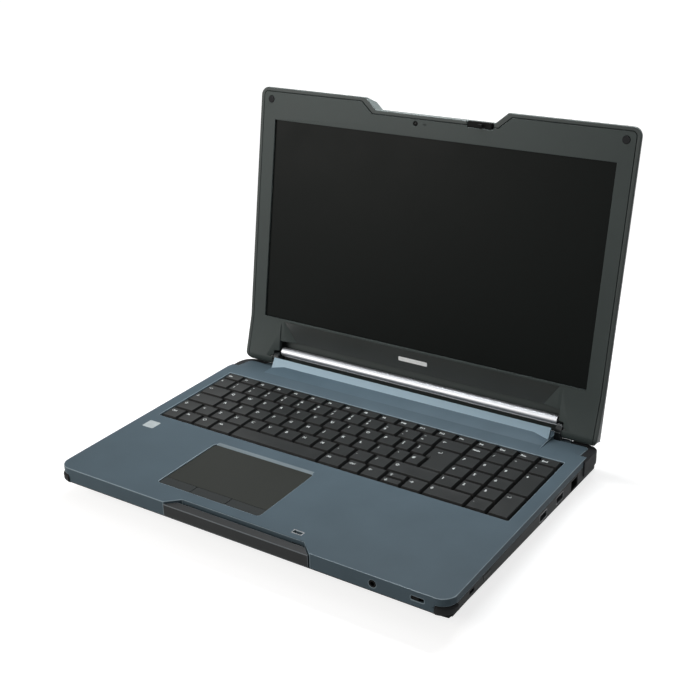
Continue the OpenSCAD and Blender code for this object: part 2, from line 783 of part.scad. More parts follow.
handle_z = [deck_h - handle_drop - handle_bar_h, deck_h - handle_drop];
arm_rear = handle_notch_d + handle_travel + 22;
module carry_handle() color([0.17, 0.18, 0.18]) in_base()
    difference() {
        union() {
            translate([0, 0, handle_z[0]]) linear_extrude(handle_bar_h)
                polygon([[-handle_half_front + 0.6, -handle_proud],
                    [handle_half_front - 0.6, -handle_proud],
                    [handle_half_front - 0.6, 0], [handle_bar_rear_half, handle_bar_d - handle_proud],
                    [-handle_bar_rear_half, handle_bar_d - handle_proud], [-handle_half_front + 0.6, 0]]);
            both_sides() {
                block([arm_x - arm_w / 2, arm_x + arm_w / 2],
                    [handle_bar_d - handle_proud - 0.5, arm_rear], arm_z);
                block([arm_x - arm_w / 2 - 1.6, arm_x + arm_w / 2 + 1.6],
                    [arm_guide_y[1] + handle_travel + 0.3, arm_rear], arm_z);
            }
        }
        along_x([-far, far]) polygon([[-handle_proud - 1, handle_z[0] - 1],
            [-handle_proud + 1.4, handle_z[0] - 1],
            [-handle_proud - 1, handle_z[0] + 1.4]]);
    }
handle_bar_rear_half = handle_half_front - 0.8 - (handle_half_front - handle_half_rear)
    * (handle_bar_d - handle_proud) / handle_notch_d;

// ---------- keyboard ----------

function start(w, from, i) = i == 0 ? from : start(w, from, i - 1) + w[i - 1];
function run(w, from, y) = [for (i = [0 : len(w) - 1]) [start(w, from, i), start(w, from, i) + w[i], y[0],
    y[1]]];
function row_span(i) = [row_y(i), row_y(i + 1)];
function same(n, w) = [for (i = [1 : n]) w];
function total(w, i = 0) = i == len(w) ? 0 : w[i] + total(w, i + 1);
// A row that ends flush with the main block: the last key takes what is left
function filled(w) = concat(w, [main_block_w - total(w)]);

function_span = [row_y(5), keys_rear];
function_keys = concat(run(same(14, main_block_w / 14), keys_x, function_span),
    run(same(4, pad_pitch), pad_x, function_span));
number_keys = run(filled(same(13, key_pitch)), keys_x, row_span(4));
upper_widths = concat([tab_w], same(10, key_pitch), same(2, narrow_key_w));
upper_keys = run(upper_widths, keys_x, row_span(3));
home_widths = concat([caps_w], same(10, key_pitch), same(2, narrow_key_w));
home_keys = run(home_widths, keys_x, row_span(2));
lower_keys = run(filled(concat([left_shift_w], same(11, key_pitch))), keys_x, row_span(1));
left_mods = [control_w, key_pitch, key_pitch, alt_w];
space_x = keys_x + total(left_mods);
right_mods_x = space_x + space_w;
arrow_w = 20;
arrow_x = pad_x - 3 * arrow_w;
right_mods = [alt_right_w, arrow_x - right_mods_x - alt_right_w];
bottom_keys = concat(run(left_mods, keys_x, row_span(0)), run(right_mods, right_mods_x, row_span(0)),
    [[arrow_x, arrow_x + arrow_w, row_y(0), row_y(1)], [arrow_x + 2 * arrow_w, pad_x, row_y(0), row_y(1)],
     [arrow_x + arrow_w, arrow_x + 2 * arrow_w, row_y(0), row_y(0.5)],
     [arrow_x + arrow_w, arrow_x + 2 * arrow_w, row_y(0.5), row_y(1)]]);
enter_upper_x = keys_x + total(upper_widths);
enter_lower_x = keys_x + total(home_widths);
function pad_col(i) = pad_x + i * pad_pitch;
number_pad = concat(run(same(4, pad_pitch), pad_x, row_span(4)),
    [for (r = [1 : 3]) for (c = [0 : 2]) [pad_col(c), pad_col(c + 1), row_y(r), row_y(r + 1)]],
    [[pad_col(3), pad_col(4), row_y(2), row_y(4)], [pad_col(3), pad_col(4), row_y(0), row_y(2)],
     [pad_col(0), pad_col(2), row_y(0), row_y(1)], [pad_col(2), pad_col(3), row_y(0), row_y(1)]]);

// A cap with sloped sides over the cell k = [x0, x1, y0, y1]
module cap(k) {
    x = [k[0] + key_gap / 2, k[1] - key_gap / 2];
    y = [k[2] + key_gap / 2, k[3] - key_gap / 2];
    intersection() {
        along_y(y) polygon([[x[0], cap_foot], [x[1], cap_foot], [x[1] - key_bevel, cap_top],
            [x[0] + key_bevel, cap_top]]);
        along_x(x) polygon([[y[0], cap_foot], [y[1], cap_foot], [y[1] - key_bevel * 0.6, cap_top],
            [y[0] + key_bevel, cap_top]]);
    }
}

// Stem under the middle of a cell, drawn in where the cell is narrow
function stem_half(k) = min(stem_w, k[3] - k[2] - 4) / 2;
module stem(k, grow, z) {
    cx = (k[0] + k[1]) / 2;
    cy = (k[2] + k[3]) / 2;
    block([cx - stem_w / 2 - grow, cx + stem_w / 2 + grow],
        [cy - stem_half(k) - grow, cy + stem_half(k) + grow], z);
}

module keys(cells)
    for (k = cells) {
        cap(k);
        stem(k, 0, [stem_foot, cap_foot + 0.5]);
    }

enter_stem = [enter_lower_x, pad_x, row_y(2), row_y(4)];
space_stems = [for (i = [0.15, 0.85]) [space_x + space_w * i - 5, space_x + space_w * i + 5, row_y(0),
    row_y(1)]];
all_stems = concat(function_keys, number_keys, upper_keys, home_keys, lower_keys, bottom_keys, number_pad,
    space_stems, [enter_stem]);

module function_row_keys() color([0.19, 0.2, 0.2]) in_base() keys(function_keys);
module number_row_keys() color([0.19, 0.2, 0.2]) in_base() keys(number_keys);
module upper_row_keys() color([0.19, 0.2, 0.2]) in_base() keys(upper_keys);
module home_row_keys() color([0.19, 0.2, 0.2]) in_base() keys(home_keys);
module lower_row_keys() color([0.19, 0.2, 0.2]) in_base() keys(lower_keys);
module bottom_row_keys() color([0.19, 0.2, 0.2]) in_base() keys(bottom_keys);
module number_pad_keys() color([0.19, 0.2, 0.2]) in_base() keys(number_pad);
module space_bar() color([0.19, 0.2, 0.2]) in_base() {
    cap([space_x, right_mods_x, row_y(0), row_y(1)]);
    for (k = space_stems) stem(k, 0, [stem_foot, cap_foot + 0.5]);
}
module enter_key() color([0.19, 0.2, 0.2]) in_base() {
    cap([enter_upper_x, pad_x, row_y(3), row_y(4)]);
    cap(enter_stem);
    stem(enter_stem, 0, [stem_foot, cap_foot + 0.5]);
}

module keyboard_tray() color([0.07, 0.07, 0.08]) in_base()
    difference() {
        slab([key_open_x[0] - tray_rim, key_open_x[1] + tray_rim],
            [key_open_y[0] - tray_rim, key_open_y[1] + tray_rim],
            [tray_top - tray_t, deck_under], 2);
        slab(key_open_x, key_open_y, [tray_top, far], 1.5);
        for (k = all_stems) stem(k, stem_clearance, [0, far]);
    }

// ---------- touchpad ----------

pad_x0 = pad_right - pad_w;
pad_top = deck_h - pad_recess;
pad_gap = 0.35;
button_y = [pad_front + pad_gap, pad_front + button_d];
button_z = [deck_under + button_travel + 0.1, pad_top + 0.2];
button_split = [pad_x0 + pad_w * 0.32, pad_x0 + pad_w * 0.667];

pad_span = [pad_x0, pad_right];
pad_open_y = [pad_front, pad_front + pad_d];
pad_corner_r = 3;
module pad_inside(z)
    slab(grown(pad_span, -pad_gap), grown(pad_open_y, -pad_gap), z, pad_corner_r - pad_gap);

module touchpad() color([0.22, 0.22, 0.21]) in_base() {
    difference() {
        pad_inside([deck_under - 0.2, pad_top]);
        block([-far, far], [-far, button_y[1] + 0.5], [0, far]);
    }
    block(grown(pad_span, 3.5), grown(pad_open_y, 1.2), [deck_under - 1.2, deck_under]);
}

module touchpad_button(x)
    intersection() {
        block(grown(x, -0.3), button_y, button_z);
        pad_inside([0, far]);
    }

module touchpad_button_left() color([0.24, 0.23, 0.23]) in_base()
    touchpad_button([pad_x0 + 0.1, button_split[0]]);
module touchpad_button_middle() color([0.24, 0.23, 0.23]) in_base()
    touchpad_button(button_split);
module touchpad_button_right() color([0.24, 0.23, 0.23]) in_base()
    touchpad_button([button_split[1], pad_right - 0.1]);

// ---------- buttons and sockets in the walls ----------

power_button_y = [52, 64];
power_button_z = [side_edge_z + 1.6, side_edge_z + 5];
power_flange_x = [half_w - case_wall - 1.5, half_w - case_wall - 0.05];
module power_button() color([0.3, 0.31, 0.32]) in_base() {
    block([power_flange_x[0], half_w + 0.2], power_button_y, power_button_z);
    block(power_flange_x, grown(power_button_y, 0.8), grown(power_button_z, 0.8));
}

wireless_x = [half_w - 31, half_w - 25];
wireless_z = [deck_h - 8, deck_h - 5];
wireless_travel = 4;
module wireless_space() {
    block([wireless_x[0] - 0.3, wireless_x[1] + wireless_travel + 0.3], [-1, case_wall + 1],
        [wireless_z[0] - 0.3, wireless_z[1] + 0.3]);
}
module wireless_switch() color([0.12, 0.12, 0.13]) in_base() {
    block(wireless_x, [0.3, case_wall + 0.4], wireless_z);
    block([wireless_x[0] - 1.5, wireless_x[1] + 1.5], [case_wall + 0.25, case_wall + 1.5],
        [wireless_z[0] - 1.2, wireless_z[1] + 1.2]);
}

headset_x = half_w - 63.5;
headset_z = deck_h - 7;
headset_body = 4.2;
module headset_space()
    rod_y(headset_x, [-1, case_wall + 1], headset_z, 3 + 0.1);
module headset_socket() color([0.06, 0.06, 0.06]) in_base()
    difference() {
        union() {
            rod_y(headset_x, [0.05, headset_len], headset_z, 3);
            block([headset_x - headset_body, headset_x + headset_body], [case_wall + 0.1, headset_len],
                [headset_z - headset_body, deck_under]);
        }
        rod_y(headset_x, [-1, headset_len + 1], headset_z, headset_r);
    }

// Sockets that face right: y span of the mouth, z span of the mouth
socket_wall = 0.7;
usb_places = [150, 182];
usb_z = [board_top + socket_wall, board_top + socket_wall + usb_h];
network_y = [212, 212 + network_w];
network_z = [under_keys - 1 - network_h, under_keys - 1];
socket_depth = 13;

opening_in = half_w - case_wall - 4;
module side_openings() {
    for (y = usb_places)
        block([opening_in, far], grown([y, y + usb_w], socket_wall + 0.2), grown(usb_z, socket_wall + 0.2));
    block([opening_in, far], grown(network_y, 1.2), grown(network_z, 1.2));
    block([opening_in, far], grown(power_button_y, 0.3), grown(power_button_z, 0.3));
    block([opening_in, far], lock_y, lock_z);
    mirror([1, 0, 0]) block([opening_in, far], grown(drive_mouth_y, 0.4), grown(drive_mouth_z, 0.4));
}
lock_y = [30, 37];
lock_z = [side_edge_z + 2, side_edge_z + 5];

module side_sockets() color("silver") in_base()
    for (y = usb_places)
        difference() {
            block([half_w - socket_depth - 2, half_w - 0.2], grown([y, y + usb_w], socket_wall),
                grown(usb_z, socket_wall));
            block([half_w - socket_depth, far], [y, y + usb_w], usb_z);
        }

module network_socket() color([0.25, 0.26, 0.27]) in_base()
    difference() {
        block([half_w - socket_depth - 3, half_w - 0.2], grown(network_y, 1), grown(network_z, 1));
        block([half_w - socket_depth, far], network_y, network_z);
    }

// Sockets that face the rear: x of the mouth's left end
rear_places = [pipe_x + 16, pipe_x + 16 + rear_mouth_w + rear_gap];
rear_mouth_z = [board_top + 1, board_top + 1 + rear_mouth_h];
rear_depth = 7;
power_x = [rear_places[1] + rear_mouth_w + rear_gap, rear_places[1] + rear_mouth_w + rear_gap + power_w];
power_z = [board_top + 1, board_top + 1 + power_h];
power_depth = 9;

module rear_openings() {
    for (x = rear_places)
        block(grown([x, x + rear_mouth_w], 1.4), [base_d - case_wall - 1, far], grown(rear_mouth_z, 1.2));
    block(grown(power_x, 1.2), [base_d - case_wall - 1, far], grown(power_z, 1.2));
}

module rear_sockets() color("silver") in_base()
    for (x = rear_places)
        difference() {
            block(grown([x, x + rear_mouth_w], 1.2), [base_d - rear_depth - 8, base_d - 0.2],
                grown(rear_mouth_z, 1));
            translate([0, base_d + 1, 0]) rotate([90, 0, 0]) linear_extrude(rear_depth + 1)
                rounded_rect([x, x + rear_mouth_w], rear_mouth_z, 1.6);
        }

module power_socket() color([0.08, 0.08, 0.09]) in_base()
    difference() {
        block(grown(power_x, 1), [base_d - power_depth - 4, base_d - 0.2], grown(power_z, 1));
        translate([0, base_d + 1, 0]) rotate([90, 0, 0]) linear_extrude(power_depth + 1)
            rounded_rect(power_x, power_z, 1);
    }

// ---------- inside the base ----------

module motherboard() color("darkgreen") in_base()
    difference() {
        union() {
            block(board_x, board_y, board_z);
            block([rear_places[0] - 5, power_x[1] + 6], [board_y[1] - 1, base_d - case_wall - 4], board_z);
            block([service_x[1] - 56, service_x[1] - 16], [board_y[1] - 24, board_y[1] - 4],
                [board_top, board_top + 2.4]);
            block([pipe_x - 20, pipe_x + 10], [board_y[0] + 12, board_y[0] + 32],
                [board_top, board_top + 1.2]);
            block([board_x[0] + 26, board_x[0] + 51], [board_y[0] + 22, board_y[0] + 52],
                [board_top, board_top + 2]);
        }
        block([-far, fan_x + fan_half + 1], [fan_y - fan_half - 1, far], [0, far]);
        block([half_w - socket_depth - 4, far], grown(network_y, 2), [0, far]);
        for (p = standoff_places)
            translate([p[0], p[1], 0]) cylinder(h = far, r = 1.3);
    }

// Cold plate on the processor, and the pipe with its bend
plate_half = 20;
plate_y = [fan_y - fan_half - 35, fan_y - fan_half + 5];
module heat_pipe() color("peru") in_base()
    union() {
        block(grown([pipe_x, pipe_x], plate_half), plate_y, [board_top, pipe_z - 1]);
        rod_y(pipe_x, [plate_y[0] + 2, pipe_y - pipe_bend], pipe_z, pipe_r);
        translate([pipe_x - pipe_bend, pipe_y - pipe_bend, pipe_z]) rotate_extrude(angle = 90)
            translate([pipe_bend, 0]) circle(pipe_r);
        rod_x([fan_x - fan_half - 1, pipe_x - pipe_bend], pipe_y, pipe_z, pipe_r);
    }

module heat_fins() color("silver") in_base()
    union() {
        block([fan_x - fan_half, fan_x + fan_half], fins_y, [fins_z[1] - 1, fins_z[1]]);
        for (i = [0 : fin_count - 1])
            translate([fan_x - fan_half + i * (2 * fan_half - 1) / (fin_count - 1), fins_y[0], fins_z[0]])
                cube([1, fins_y[1] - fins_y[0], fins_z[1] - fins_z[0]]);
    }

module fan_housing() color([0.12, 0.12, 0.13]) in_base()
    difference() {
        union() {
            block([fan_x - fan_half, fan_x + fan_half], [fan_y - fan_half, fan_y + fan_half], fan_z);
        }
        translate([fan_x, fan_y, fan_z[0] + 1]) cylinder(h = fan_z[1] - fan_z[0] - 2, r = rotor_r + 1.2);
        block([fan_x - fan_half + 2, fan_x + fan_half - 2], [fan_y, far], [fan_z[0] + 1, fan_z[1] - 1]);
        translate([fan_x, fan_y, fan_z[1] - 2]) cylinder(h = 9, r = 16);
        difference() {
            translate([fan_x, fan_y, fan_z[0] - 2]) cylinder(h = 9, r = 16);
            translate([fan_x, fan_y, fan_z[0]]) cylinder(h = 1.01, r = 9);
            for (a = [0, 120, 240])
                translate([fan_x, fan_y, fan_z[0]]) rotate([0, 0, a]) translate([0, -2, 0])
                    cube([17, 4, 1.01]);
        }
        translate([fan_x, fan_y, 0]) cylinder(h = far, r = shaft_r + pin_clearance);
    }

shaft_r = 1.5;
module fan_rotor() color([0.2, 0.2, 0.22]) in_base()
    translate([fan_x, fan_y, 0]) {
        translate([0, 0, fan_z[0]]) cylinder(h = 5, r = shaft_r);
        translate([0, 0, fan_z[0] + 1.4]) cylinder(h = fan_z[1] - fan_z[0] - 2.8, r = hub_r);
        for (i = [0 : blade_count - 1])
            rotate([0, 0, i * 360 / blade_count]) translate([hub_r - 1, -0.4, fan_z[0] + 1.6])
                cube([rotor_r - hub_r + 1, 0.8, fan_z[1] - fan_z[0] - 3.2]);
    }

memory_x = grown([(service_x[0] + service_x[1]) / 2, (service_x[0] + service_x[1]) / 2], memory_w / 2);
memory_d = 29;
module memory_modules() color("seagreen") in_base()
    for (y = [service_y[0] + 6, service_y[0] + 6 + memory_pitch]) {
        block(memory_x, [y, y + 6], [board_z[0] - 5, board_z[0]]);
        block(grown(memory_x, -1.2), [y + 5, y + memory_d], [board_z[0] - 3.6, board_z[0] - 2.4]);
    }

card_x = [service_x[0] + 4, service_x[0] + 34];
card_y = [board_y[1] - 30, board_y[1] - 2];
module wireless_card() color("teal") in_base() {
    block(card_x, [card_y[0], card_y[0] + 4], [board_top, board_top + 4]);
    block(grown(card_x, -1), [card_y[0] + 3, card_y[1]], [board_top + 2, board_top + 3]);
    block(grown(card_x, -4), [card_y[0] + 7, card_y[1] - 4], [board_top + 3, board_top + 4.4]);
}

module storage_drive() color("dimgray") in_base()
    slab(storage_x, [storage_front, storage_front + storage_d], [floor_z, floor_z + storage_h], 2);

speaker_x = [half_w - 57, half_w - 19];
module speakers() color([0.1, 0.1, 0.1]) in_base()
    both_sides() difference() {
        slab(speaker_x, [8, 22], [deck_under - 7, deck_under], 2);
        slab([speaker_x[0] + 3, speaker_x[1] - 3], [11, 19], [deck_under - 8, deck_under - 6], 2);
    }

module battery_pack() color([0.14, 0.15, 0.16]) in_base()
    difference() {
        block(battery_x, battery_y, [foot_h, foot_h + battery_h]);
        block([latch_nub_x - 9, latch_nub_x + 14], [battery_y[1] - 2, far], [floor_z - 0.2, floor_z + 2.2]);
    }

latch_nub_x = battery_x[0] + 44;
battery_latch_travel = 5;
latch_y = battery_y[1] + bay_clearance + 3;
module latch_slot()
    block([latch_nub_x - 5.3, latch_nub_x + 5.3 + battery_latch_travel], [latch_y - 0.3, latch_y + 5.3],
        [0, far / 40]);
module battery_latch() color([0.5, 0.5, 0.5]) in_base() {
    block([latch_nub_x - 5, latch_nub_x + 5], [latch_y, latch_y + 5], [foot_h + 0.2, floor_z + 1]);
    block([latch_nub_x - 8, latch_nub_x + 8], [battery_y[1] - 1.4, latch_y + 7],
        [floor_z + 0.2, floor_z + 1.6]);
}

module intake_slots()
    for (i = [-4 : 4])
        block([fan_x - 20 + abs(i) * 2, fan_x + 20 - abs(i) * 2],
            [fan_y + i * 4.4 - 1, fan_y + i * 4.4 + 1], [0, floor_z + 0.5]);

module rear_vents()
    for (i = [0 : 10])
        block([fan_x - fan_half + 2.5 + i * 4.6, fan_x - fan_half + 5.3 + i * 4.6],
            [base_d - case_wall - 2, far],
            [fins_z[0] + 2.5, fins_z[1] - 0.5]);

// Optical drive: fixed body, sliding tray with its front, eject button
module optical_drive() color("gray") in_base()
    difference() {
        block(drive_x, drive_y, drive_z);
        block([-far, drive_x[1] - 1.5], drive_mouth_y, drive_mouth_z);
    }

disc_r = min(60.3, (drive_d - 5) / 2);
drive_tray_x = [-half_w + case_wall + 0.3, drive_x[1] - 3];
module drive_tray() color([0.18, 0.19, 0.2]) in_base()
    difference() {
        union() {
            block([drive_tray_x[0] - 0.1, drive_tray_x[1]], grown(drive_mouth_y, -0.4),
                grown(drive_mouth_z, -0.4));
            block([-half_w + 0.1, drive_tray_x[0] + 0.2], grown(drive_mouth_y, -0.1),
                grown(drive_mouth_z, -0.1));
        }
        difference() {
            translate([drive_tray_x[0] + disc_r + 3, (drive_y[0] + drive_y[1]) / 2, drive_mouth_z[1] - 2.4])
                cylinder(h = 4, r = disc_r - 1, $fn = 96);
            translate([drive_tray_x[0] + disc_r + 3, (drive_y[0] + drive_y[1]) / 2, 0])
                cylinder(h = drive_mouth_z[1] - 0.8, r = 12);
        }
        block([-far, -half_w + 1.3], eject_y, eject_z);
    }
eject_y = [drive_y[0] + 40, drive_y[0] + 48];
eject_z = [drive_mouth_z[1] - 4.6, drive_mouth_z[1] - 1.6];
eject_travel = 0.6;
module drive_eject_button() color([0.3, 0.3, 0.3]) in_base()
    block([-half_w - 0.1, -half_w + 0.6], grown(eject_y, -0.2), grown(eject_z, -0.2));

// ---------- hinge hardware ----------

bracket_z = [seam_z - 3.4, seam_z - 1];
bracket_plate_x = [knuckle_x - 34, knuckle_x + knuckle_w];
bracket_plate_y = [hinge_y - 24, neck_y[1]];
bracket_holes = [[knuckle_x - 28, hinge_y - 18], [knuckle_x - 12, hinge_y - 18]];
module bracket_seats()
    for (p = bracket_holes)
        translate([p[0], p[1], foot_h + 0.5]) cylinder(h = bracket_z[0] - foot_h - 0.5, r = 4);

module hinge_bracket()
    difference() {
        union() {
            block(bracket_plate_x, bracket_plate_y, bracket_z);
            block([knuckle_x, knuckle_x + knuckle_w], neck_y, [bracket_z[0], hinge_z]);
            rod_x([knuckle_x, knuckle_x + knuckle_w], hinge_y, hinge_z, knuckle_r);
            rod_x([knuckle_x, pin_end_x], hinge_y, hinge_z, pin_r);
        }
        for (p = bracket_holes)
            translate([p[0], p[1], 0]) cylinder(h = far, r = 1.6);
    }

module hinge_bracket_right() color("silver") in_base() hinge_bracket();
module hinge_bracket_left() color("silver") in_base() mirror([1, 0, 0]) hinge_bracket();

panel_half = screen_w / 2 + panel_lap;
panel_y = [lid_in + bezel_t + 0.05, lid_in + bezel_t + 0.05 + panel_t];
arm_plate_y = [panel_y[1] + 0.4, panel_y[1] + 2.2];
arm_plate_top = 70;
module hinge_arm()
    difference() {
        union() {
            rod_x([arm_barrel_x, pin_end_x - 1], 0, 0, barrel_r);
            block([arm_barrel_x, pin_end_x - 1], arm_plate_y, [0, arm_plate_top]);
            block([arm_barrel_x, pin_end_x - 1], [2, arm_plate_y[1]], [3, 6]);
        }
        rod_x([0, far], 0, 0, pin_r + pin_clearance);
    }

module hinge_arm_right() color("silver") in_lid() hinge_arm();
module hinge_arm_left() color("silver") in_lid() mirror([1, 0, 0]) hinge_arm();

// ---------- lid ----------

// Outline of the lid in (x, z), drawn in by a margin
module lid_outline(in)
    difference() {
        rounded_rect([-lid_half + in, lid_half - in], [lid_foot + in, lid_top - in], lid_corner_r - in);
        polygon([[-notch_half_top - in, far], [-notch_half_top - in, lid_top - in],
            [-notch_half_floor - in, notch_floor - in], [notch_half_floor + in, notch_floor - in],
            [notch_half_top + in, lid_top - in], [notch_half_top + in, far]]);
    }

module lid_plate(in, y)
    translate([0, y[1], 0]) rotate([90, 0, 0]) linear_extrude(y[1] - y[0]) lid_outline(in);

// Side view of an ear: a slope down from the bezel to the barrel
module ear_profile(back, foot)
    union() {
        polygon([[lid_in, ear_rise], [-ear_r, 1.5], [-ear_r, 0], [0, 0], [0, foot], [back, foot],
            [back, ear_rise]]);
        circle(ear_r);
    }

// Slanted sides that narrow the lid towards its back
module lid_sides()
    intersection() {
        translate([0, 0, -far]) linear_extrude(2 * far) polygon([[-lid_half, -far], [lid_half, -far],
            [lid_half, lid_in + 3], [lid_half - lid_taper, lid_out], [-lid_half + lid_taper, lid_out],
            [-lid_half, lid_in + 3]]);
        along_x([-far, far]) polygon([[-far, -far], [-far, lid_top], [lid_in + 3, lid_top],
            [lid_out, lid_top - lid_taper], [lid_out, -far]]);
    }

slot_back = lid_in + 9.3;
cover_in = lid_out - lid_back_t;
module lid_cover() color("slategray") in_lid()
    difference() {
        intersection() {
            union() {
                lid_plate(0, [lid_in, lid_out]);
                both_sides() intersection() {
                    along_x([ear_side, lid_half]) ear_profile(lid_in + 1, 0);
                    rounded_side();
                }
            }
            lid_sides();
        }
        difference() {
            lid_plate(rim_w, [-far, cover_in]);
            block([-hump_half - 1.4, hump_half + 1.4], [slot_back, far], [-far, recess_foot_rise + 6]);
        }
        both_sides() block([ear_x - 0.6, ear_side], [-far, cover_in], [-far, 10]);
        block([-ear_x + 0.6, ear_x - 0.6], [-far, slot_back], [-far, recess_foot_rise + 2]);
        both_sides() block([ear_x - 1.3, ear_x + knuckle_w + 1], [-far, lid_in + 9], [-far, 8.2]);
        latch_window(lid_in + latch_room, notch_floor + 1);
        both_sides() back_corner_cut();
    }

// Rounds the slanted corner at the lid's back, in line with the corner of its front
module back_corner_cut()
    difference() {
        block([lid_half - lid_corner_r, far], [lid_in + 3, far], [lid_top - lid_corner_r, far]);
        translate([lid_half - lid_corner_r, lid_in + 3, lid_top - lid_corner_r]) rotate([-90, 0, 0])
            cylinder(h = lid_out - lid_in - 3, r1 = lid_corner_r, r2 = lid_corner_r - lid_taper);
    }

module rounded_side()
    translate([0, far, 0]) rotate([90, 0, 0]) linear_extrude(2 * far)
        rounded_rect([-lid_half, lid_half], [-ear_r, far], lid_corner_r);

seam = 0.25;
latch_room = 5.6;
module latch_window(back, top)
    block([latch_x - latch_w / 2, latch_x + latch_w / 2], [-far, back],
        [notch_floor - latch_window_h, top]);

// Recess under the screen that clears the hinge cover when the lid is shut
module recess_profile(deep) {
    dy = recess_depth + deep;
    polygon([[lid_in - 5, recess_top_rise], [lid_in + deep, recess_top_rise],
        [lid_in + dy, recess_foot_rise],
        [lid_in + dy, 0], [lid_in - 5, 0]]);
}

module recess_plan() {
    side = (recess_half_top - recess_half_foot) / recess_depth;
    translate([0, 0, -far]) linear_extrude(2 * far) polygon([[-recess_half_top - 5 * side, lid_in - 5],
        [recess_half_top + 5 * side, lid_in - 5], [recess_half_foot, lid_in + recess_depth],
        [recess_half_foot, lid_in + far], [-recess_half_foot, lid_in + far],
        [-recess_half_foot, lid_in + recess_depth]]);
}

module gloss_outline(in)
    polygon([[-recess_half_top + in, recess_top_rise - in], [recess_half_top - in, recess_top_rise - in],
        [recess_half_foot - in, recess_foot_rise - 1], [-recess_half_foot + in, recess_foot_rise - 1]]);

module gloss_plate(in, foot)
    intersection() {
        translate([0, far, 0]) rotate([90, 0, 0]) linear_extrude(2 * far) gloss_outline(in);
        along_x([-far, far]) polygon([[lid_in, recess_top_rise], [lid_in + gloss_t, recess_top_rise],
            [lid_in + recess_depth + gloss_t, recess_foot_rise], [lid_in + recess_depth + gloss_t, foot],
            [lid_in + recess_depth, foot], [lid_in + recess_depth, recess_foot_rise]]);
        block([-far, far], [-far, far], [recess_foot_rise + in / 2, far]);
    }

screen_z = [screen_rise, lid_top - screen_top];
camera_x = -17.9;
camera_z = notch_floor - 8;
plug_x = lid_half - 12.2;
plug_z = lid_top - 11.1;
plug_r = 3.1;
module lid_bezel() color([0.3, 0.32, 0.33]) in_lid()
    difference() {
        union() {
            intersection() {
                lid_plate(rim_w + seam, [lid_in, lid_in + bezel_t]);
                block([-far, far], [-far, far], [recess_foot_rise, far]);
            }
            block([-ear_x, ear_x], [lid_in, lid_in + recess_depth + 2.2],
                [recess_foot_rise, screen_rise - 0.4]);
            both_sides() along_x([ear_x, ear_side - seam]) ear_profile(2, 0);
        }
        block([-screen_w / 2, screen_w / 2], [-far, lid_in + bezel_t + 0.05], screen_z);
        block([-panel_half - 0.5, panel_half + 0.5], [lid_in + bezel_t, far],
            [screen_rise - panel_lap - 0.4, far]);
        intersection() {
            along_x([-far, far]) recess_profile(0);
            recess_plan();
        }
        gloss_plate(0, recess_foot_rise - 9);
        both_sides() {
            rod_x([0, ear_side - 1.6], 0, 0, barrel_r + seat_gap);
            block([ear_x - 1, knuckle_x + knuckle_w + 0.4], [-far, far], [-far, 8.2]);
            block([ear_x - 1, ear_side - 1.6], [1.7, far], [0, ear_rise + 1]);
        }
        latch_window(far, far);
        rod_y(camera_x, [-far, far], camera_z, 2.3);
        both_sides() rod_y(plug_x, [-far, far], plug_z, plug_r + 0.2);
        block([camera_x + 8, camera_x + 11], [-far, far], [camera_z - 0.5, camera_z + 0.5]);
    }

module glossy_panel() color([0.12, 0.13, 0.13]) in_lid()
    gloss_plate(0.25, recess_foot_rise);

bar_y = lid_in + bar_d / 2 - 0.5;
bar_flat = slot_back;
module hinge_bar() color("gainsboro") in_lid()
    difference() {
        union() {
            rod_x([-bar_half, bar_half], bar_y, bar_rise, bar_d / 2);
            block([-bar_half + 8, bar_half - 8], [bar_y, bar_flat], [bar_rise - 2, bar_rise + 2]);
        }
        block([-far, far], [bar_flat, far], [-far, far]);
    }

module display_panel() color([0.05, 0.06, 0.06]) in_lid()
    difference() {
        block([-panel_half, panel_half], panel_y, grown(screen_z, panel_lap));
        block([-far, far], [panel_y[1] - 1.2, far], [-far, screen_rise + 2]);
    }

module camera_module() color([0.1, 0.1, 0.11]) in_lid() {
    block([camera_x - 14, camera_x + 14], [lid_in + bezel_t + 0.1, lid_in + bezel_t + 4],
        [camera_z - 3.4, camera_z + 3.4]);
    rod_y(camera_x, [lid_in + 0.5, lid_in + bezel_t + 1], camera_z, 2);
}

module antennas() color("goldenrod") in_lid()
    both_sides() block([notch_half_top + 8, notch_half_top + 60], [cover_in - 1, cover_in],
        [screen_z[1] + 8, lid_top - 8]);

cable_x = [panel_half - 76, panel_half - 58];
module display_cable() color("saddlebrown") in_lid() {
    block(cable_x, [panel_y[1] + 0.1, panel_y[1] + 0.6], [screen_rise + 4, screen_rise + 70]);
    block([cable_x[0] - 10, cable_x[1] + 10], [panel_y[1] + 0.1, panel_y[1] + 2],
        [screen_rise + 68, screen_rise + 76]);
}

module lid_plugs() color([0.08, 0.08, 0.08]) in_lid()
    both_sides() {
        rod_y(plug_x, [lid_in - 0.5, lid_in + bezel_t + 0.6], plug_z, plug_r);
        rod_y(plug_x, [lid_in + bezel_t + 0.05, lid_in + bezel_t + 1], plug_z, plug_r + 0.8);
    }

// Latch: a slider behind the bezel with a finger tab and a hook
keeper_x = [latch_x - hook_w / 2 - 0.6, latch_x + hook_w / 2 + 1.2 + latch_travel + 0.6];
latch_z_span = [notch_floor - latch_window_h + 0.3, notch_floor];
module lid_latch() color([0.1, 0.1, 0.1]) in_lid() {
    block([latch_x - latch_w / 2 + 0.4, latch_x + latch_w / 2 - 0.4 - latch_travel],
        [lid_in + 0.6, lid_in + latch_room - 0.3],
        latch_z_span);
    block([latch_x - hook_w / 2, latch_x + hook_w / 2], [lid_in - hook_reach, lid_in + 2],
        grown([latch_z, latch_z], 1.1));
    block([latch_x - hook_w / 2, latch_x + hook_w / 2 + 1.2],
        [lid_in - hook_reach, lid_in - hook_reach + 1],
        grown([latch_z, latch_z], 1.1));
}

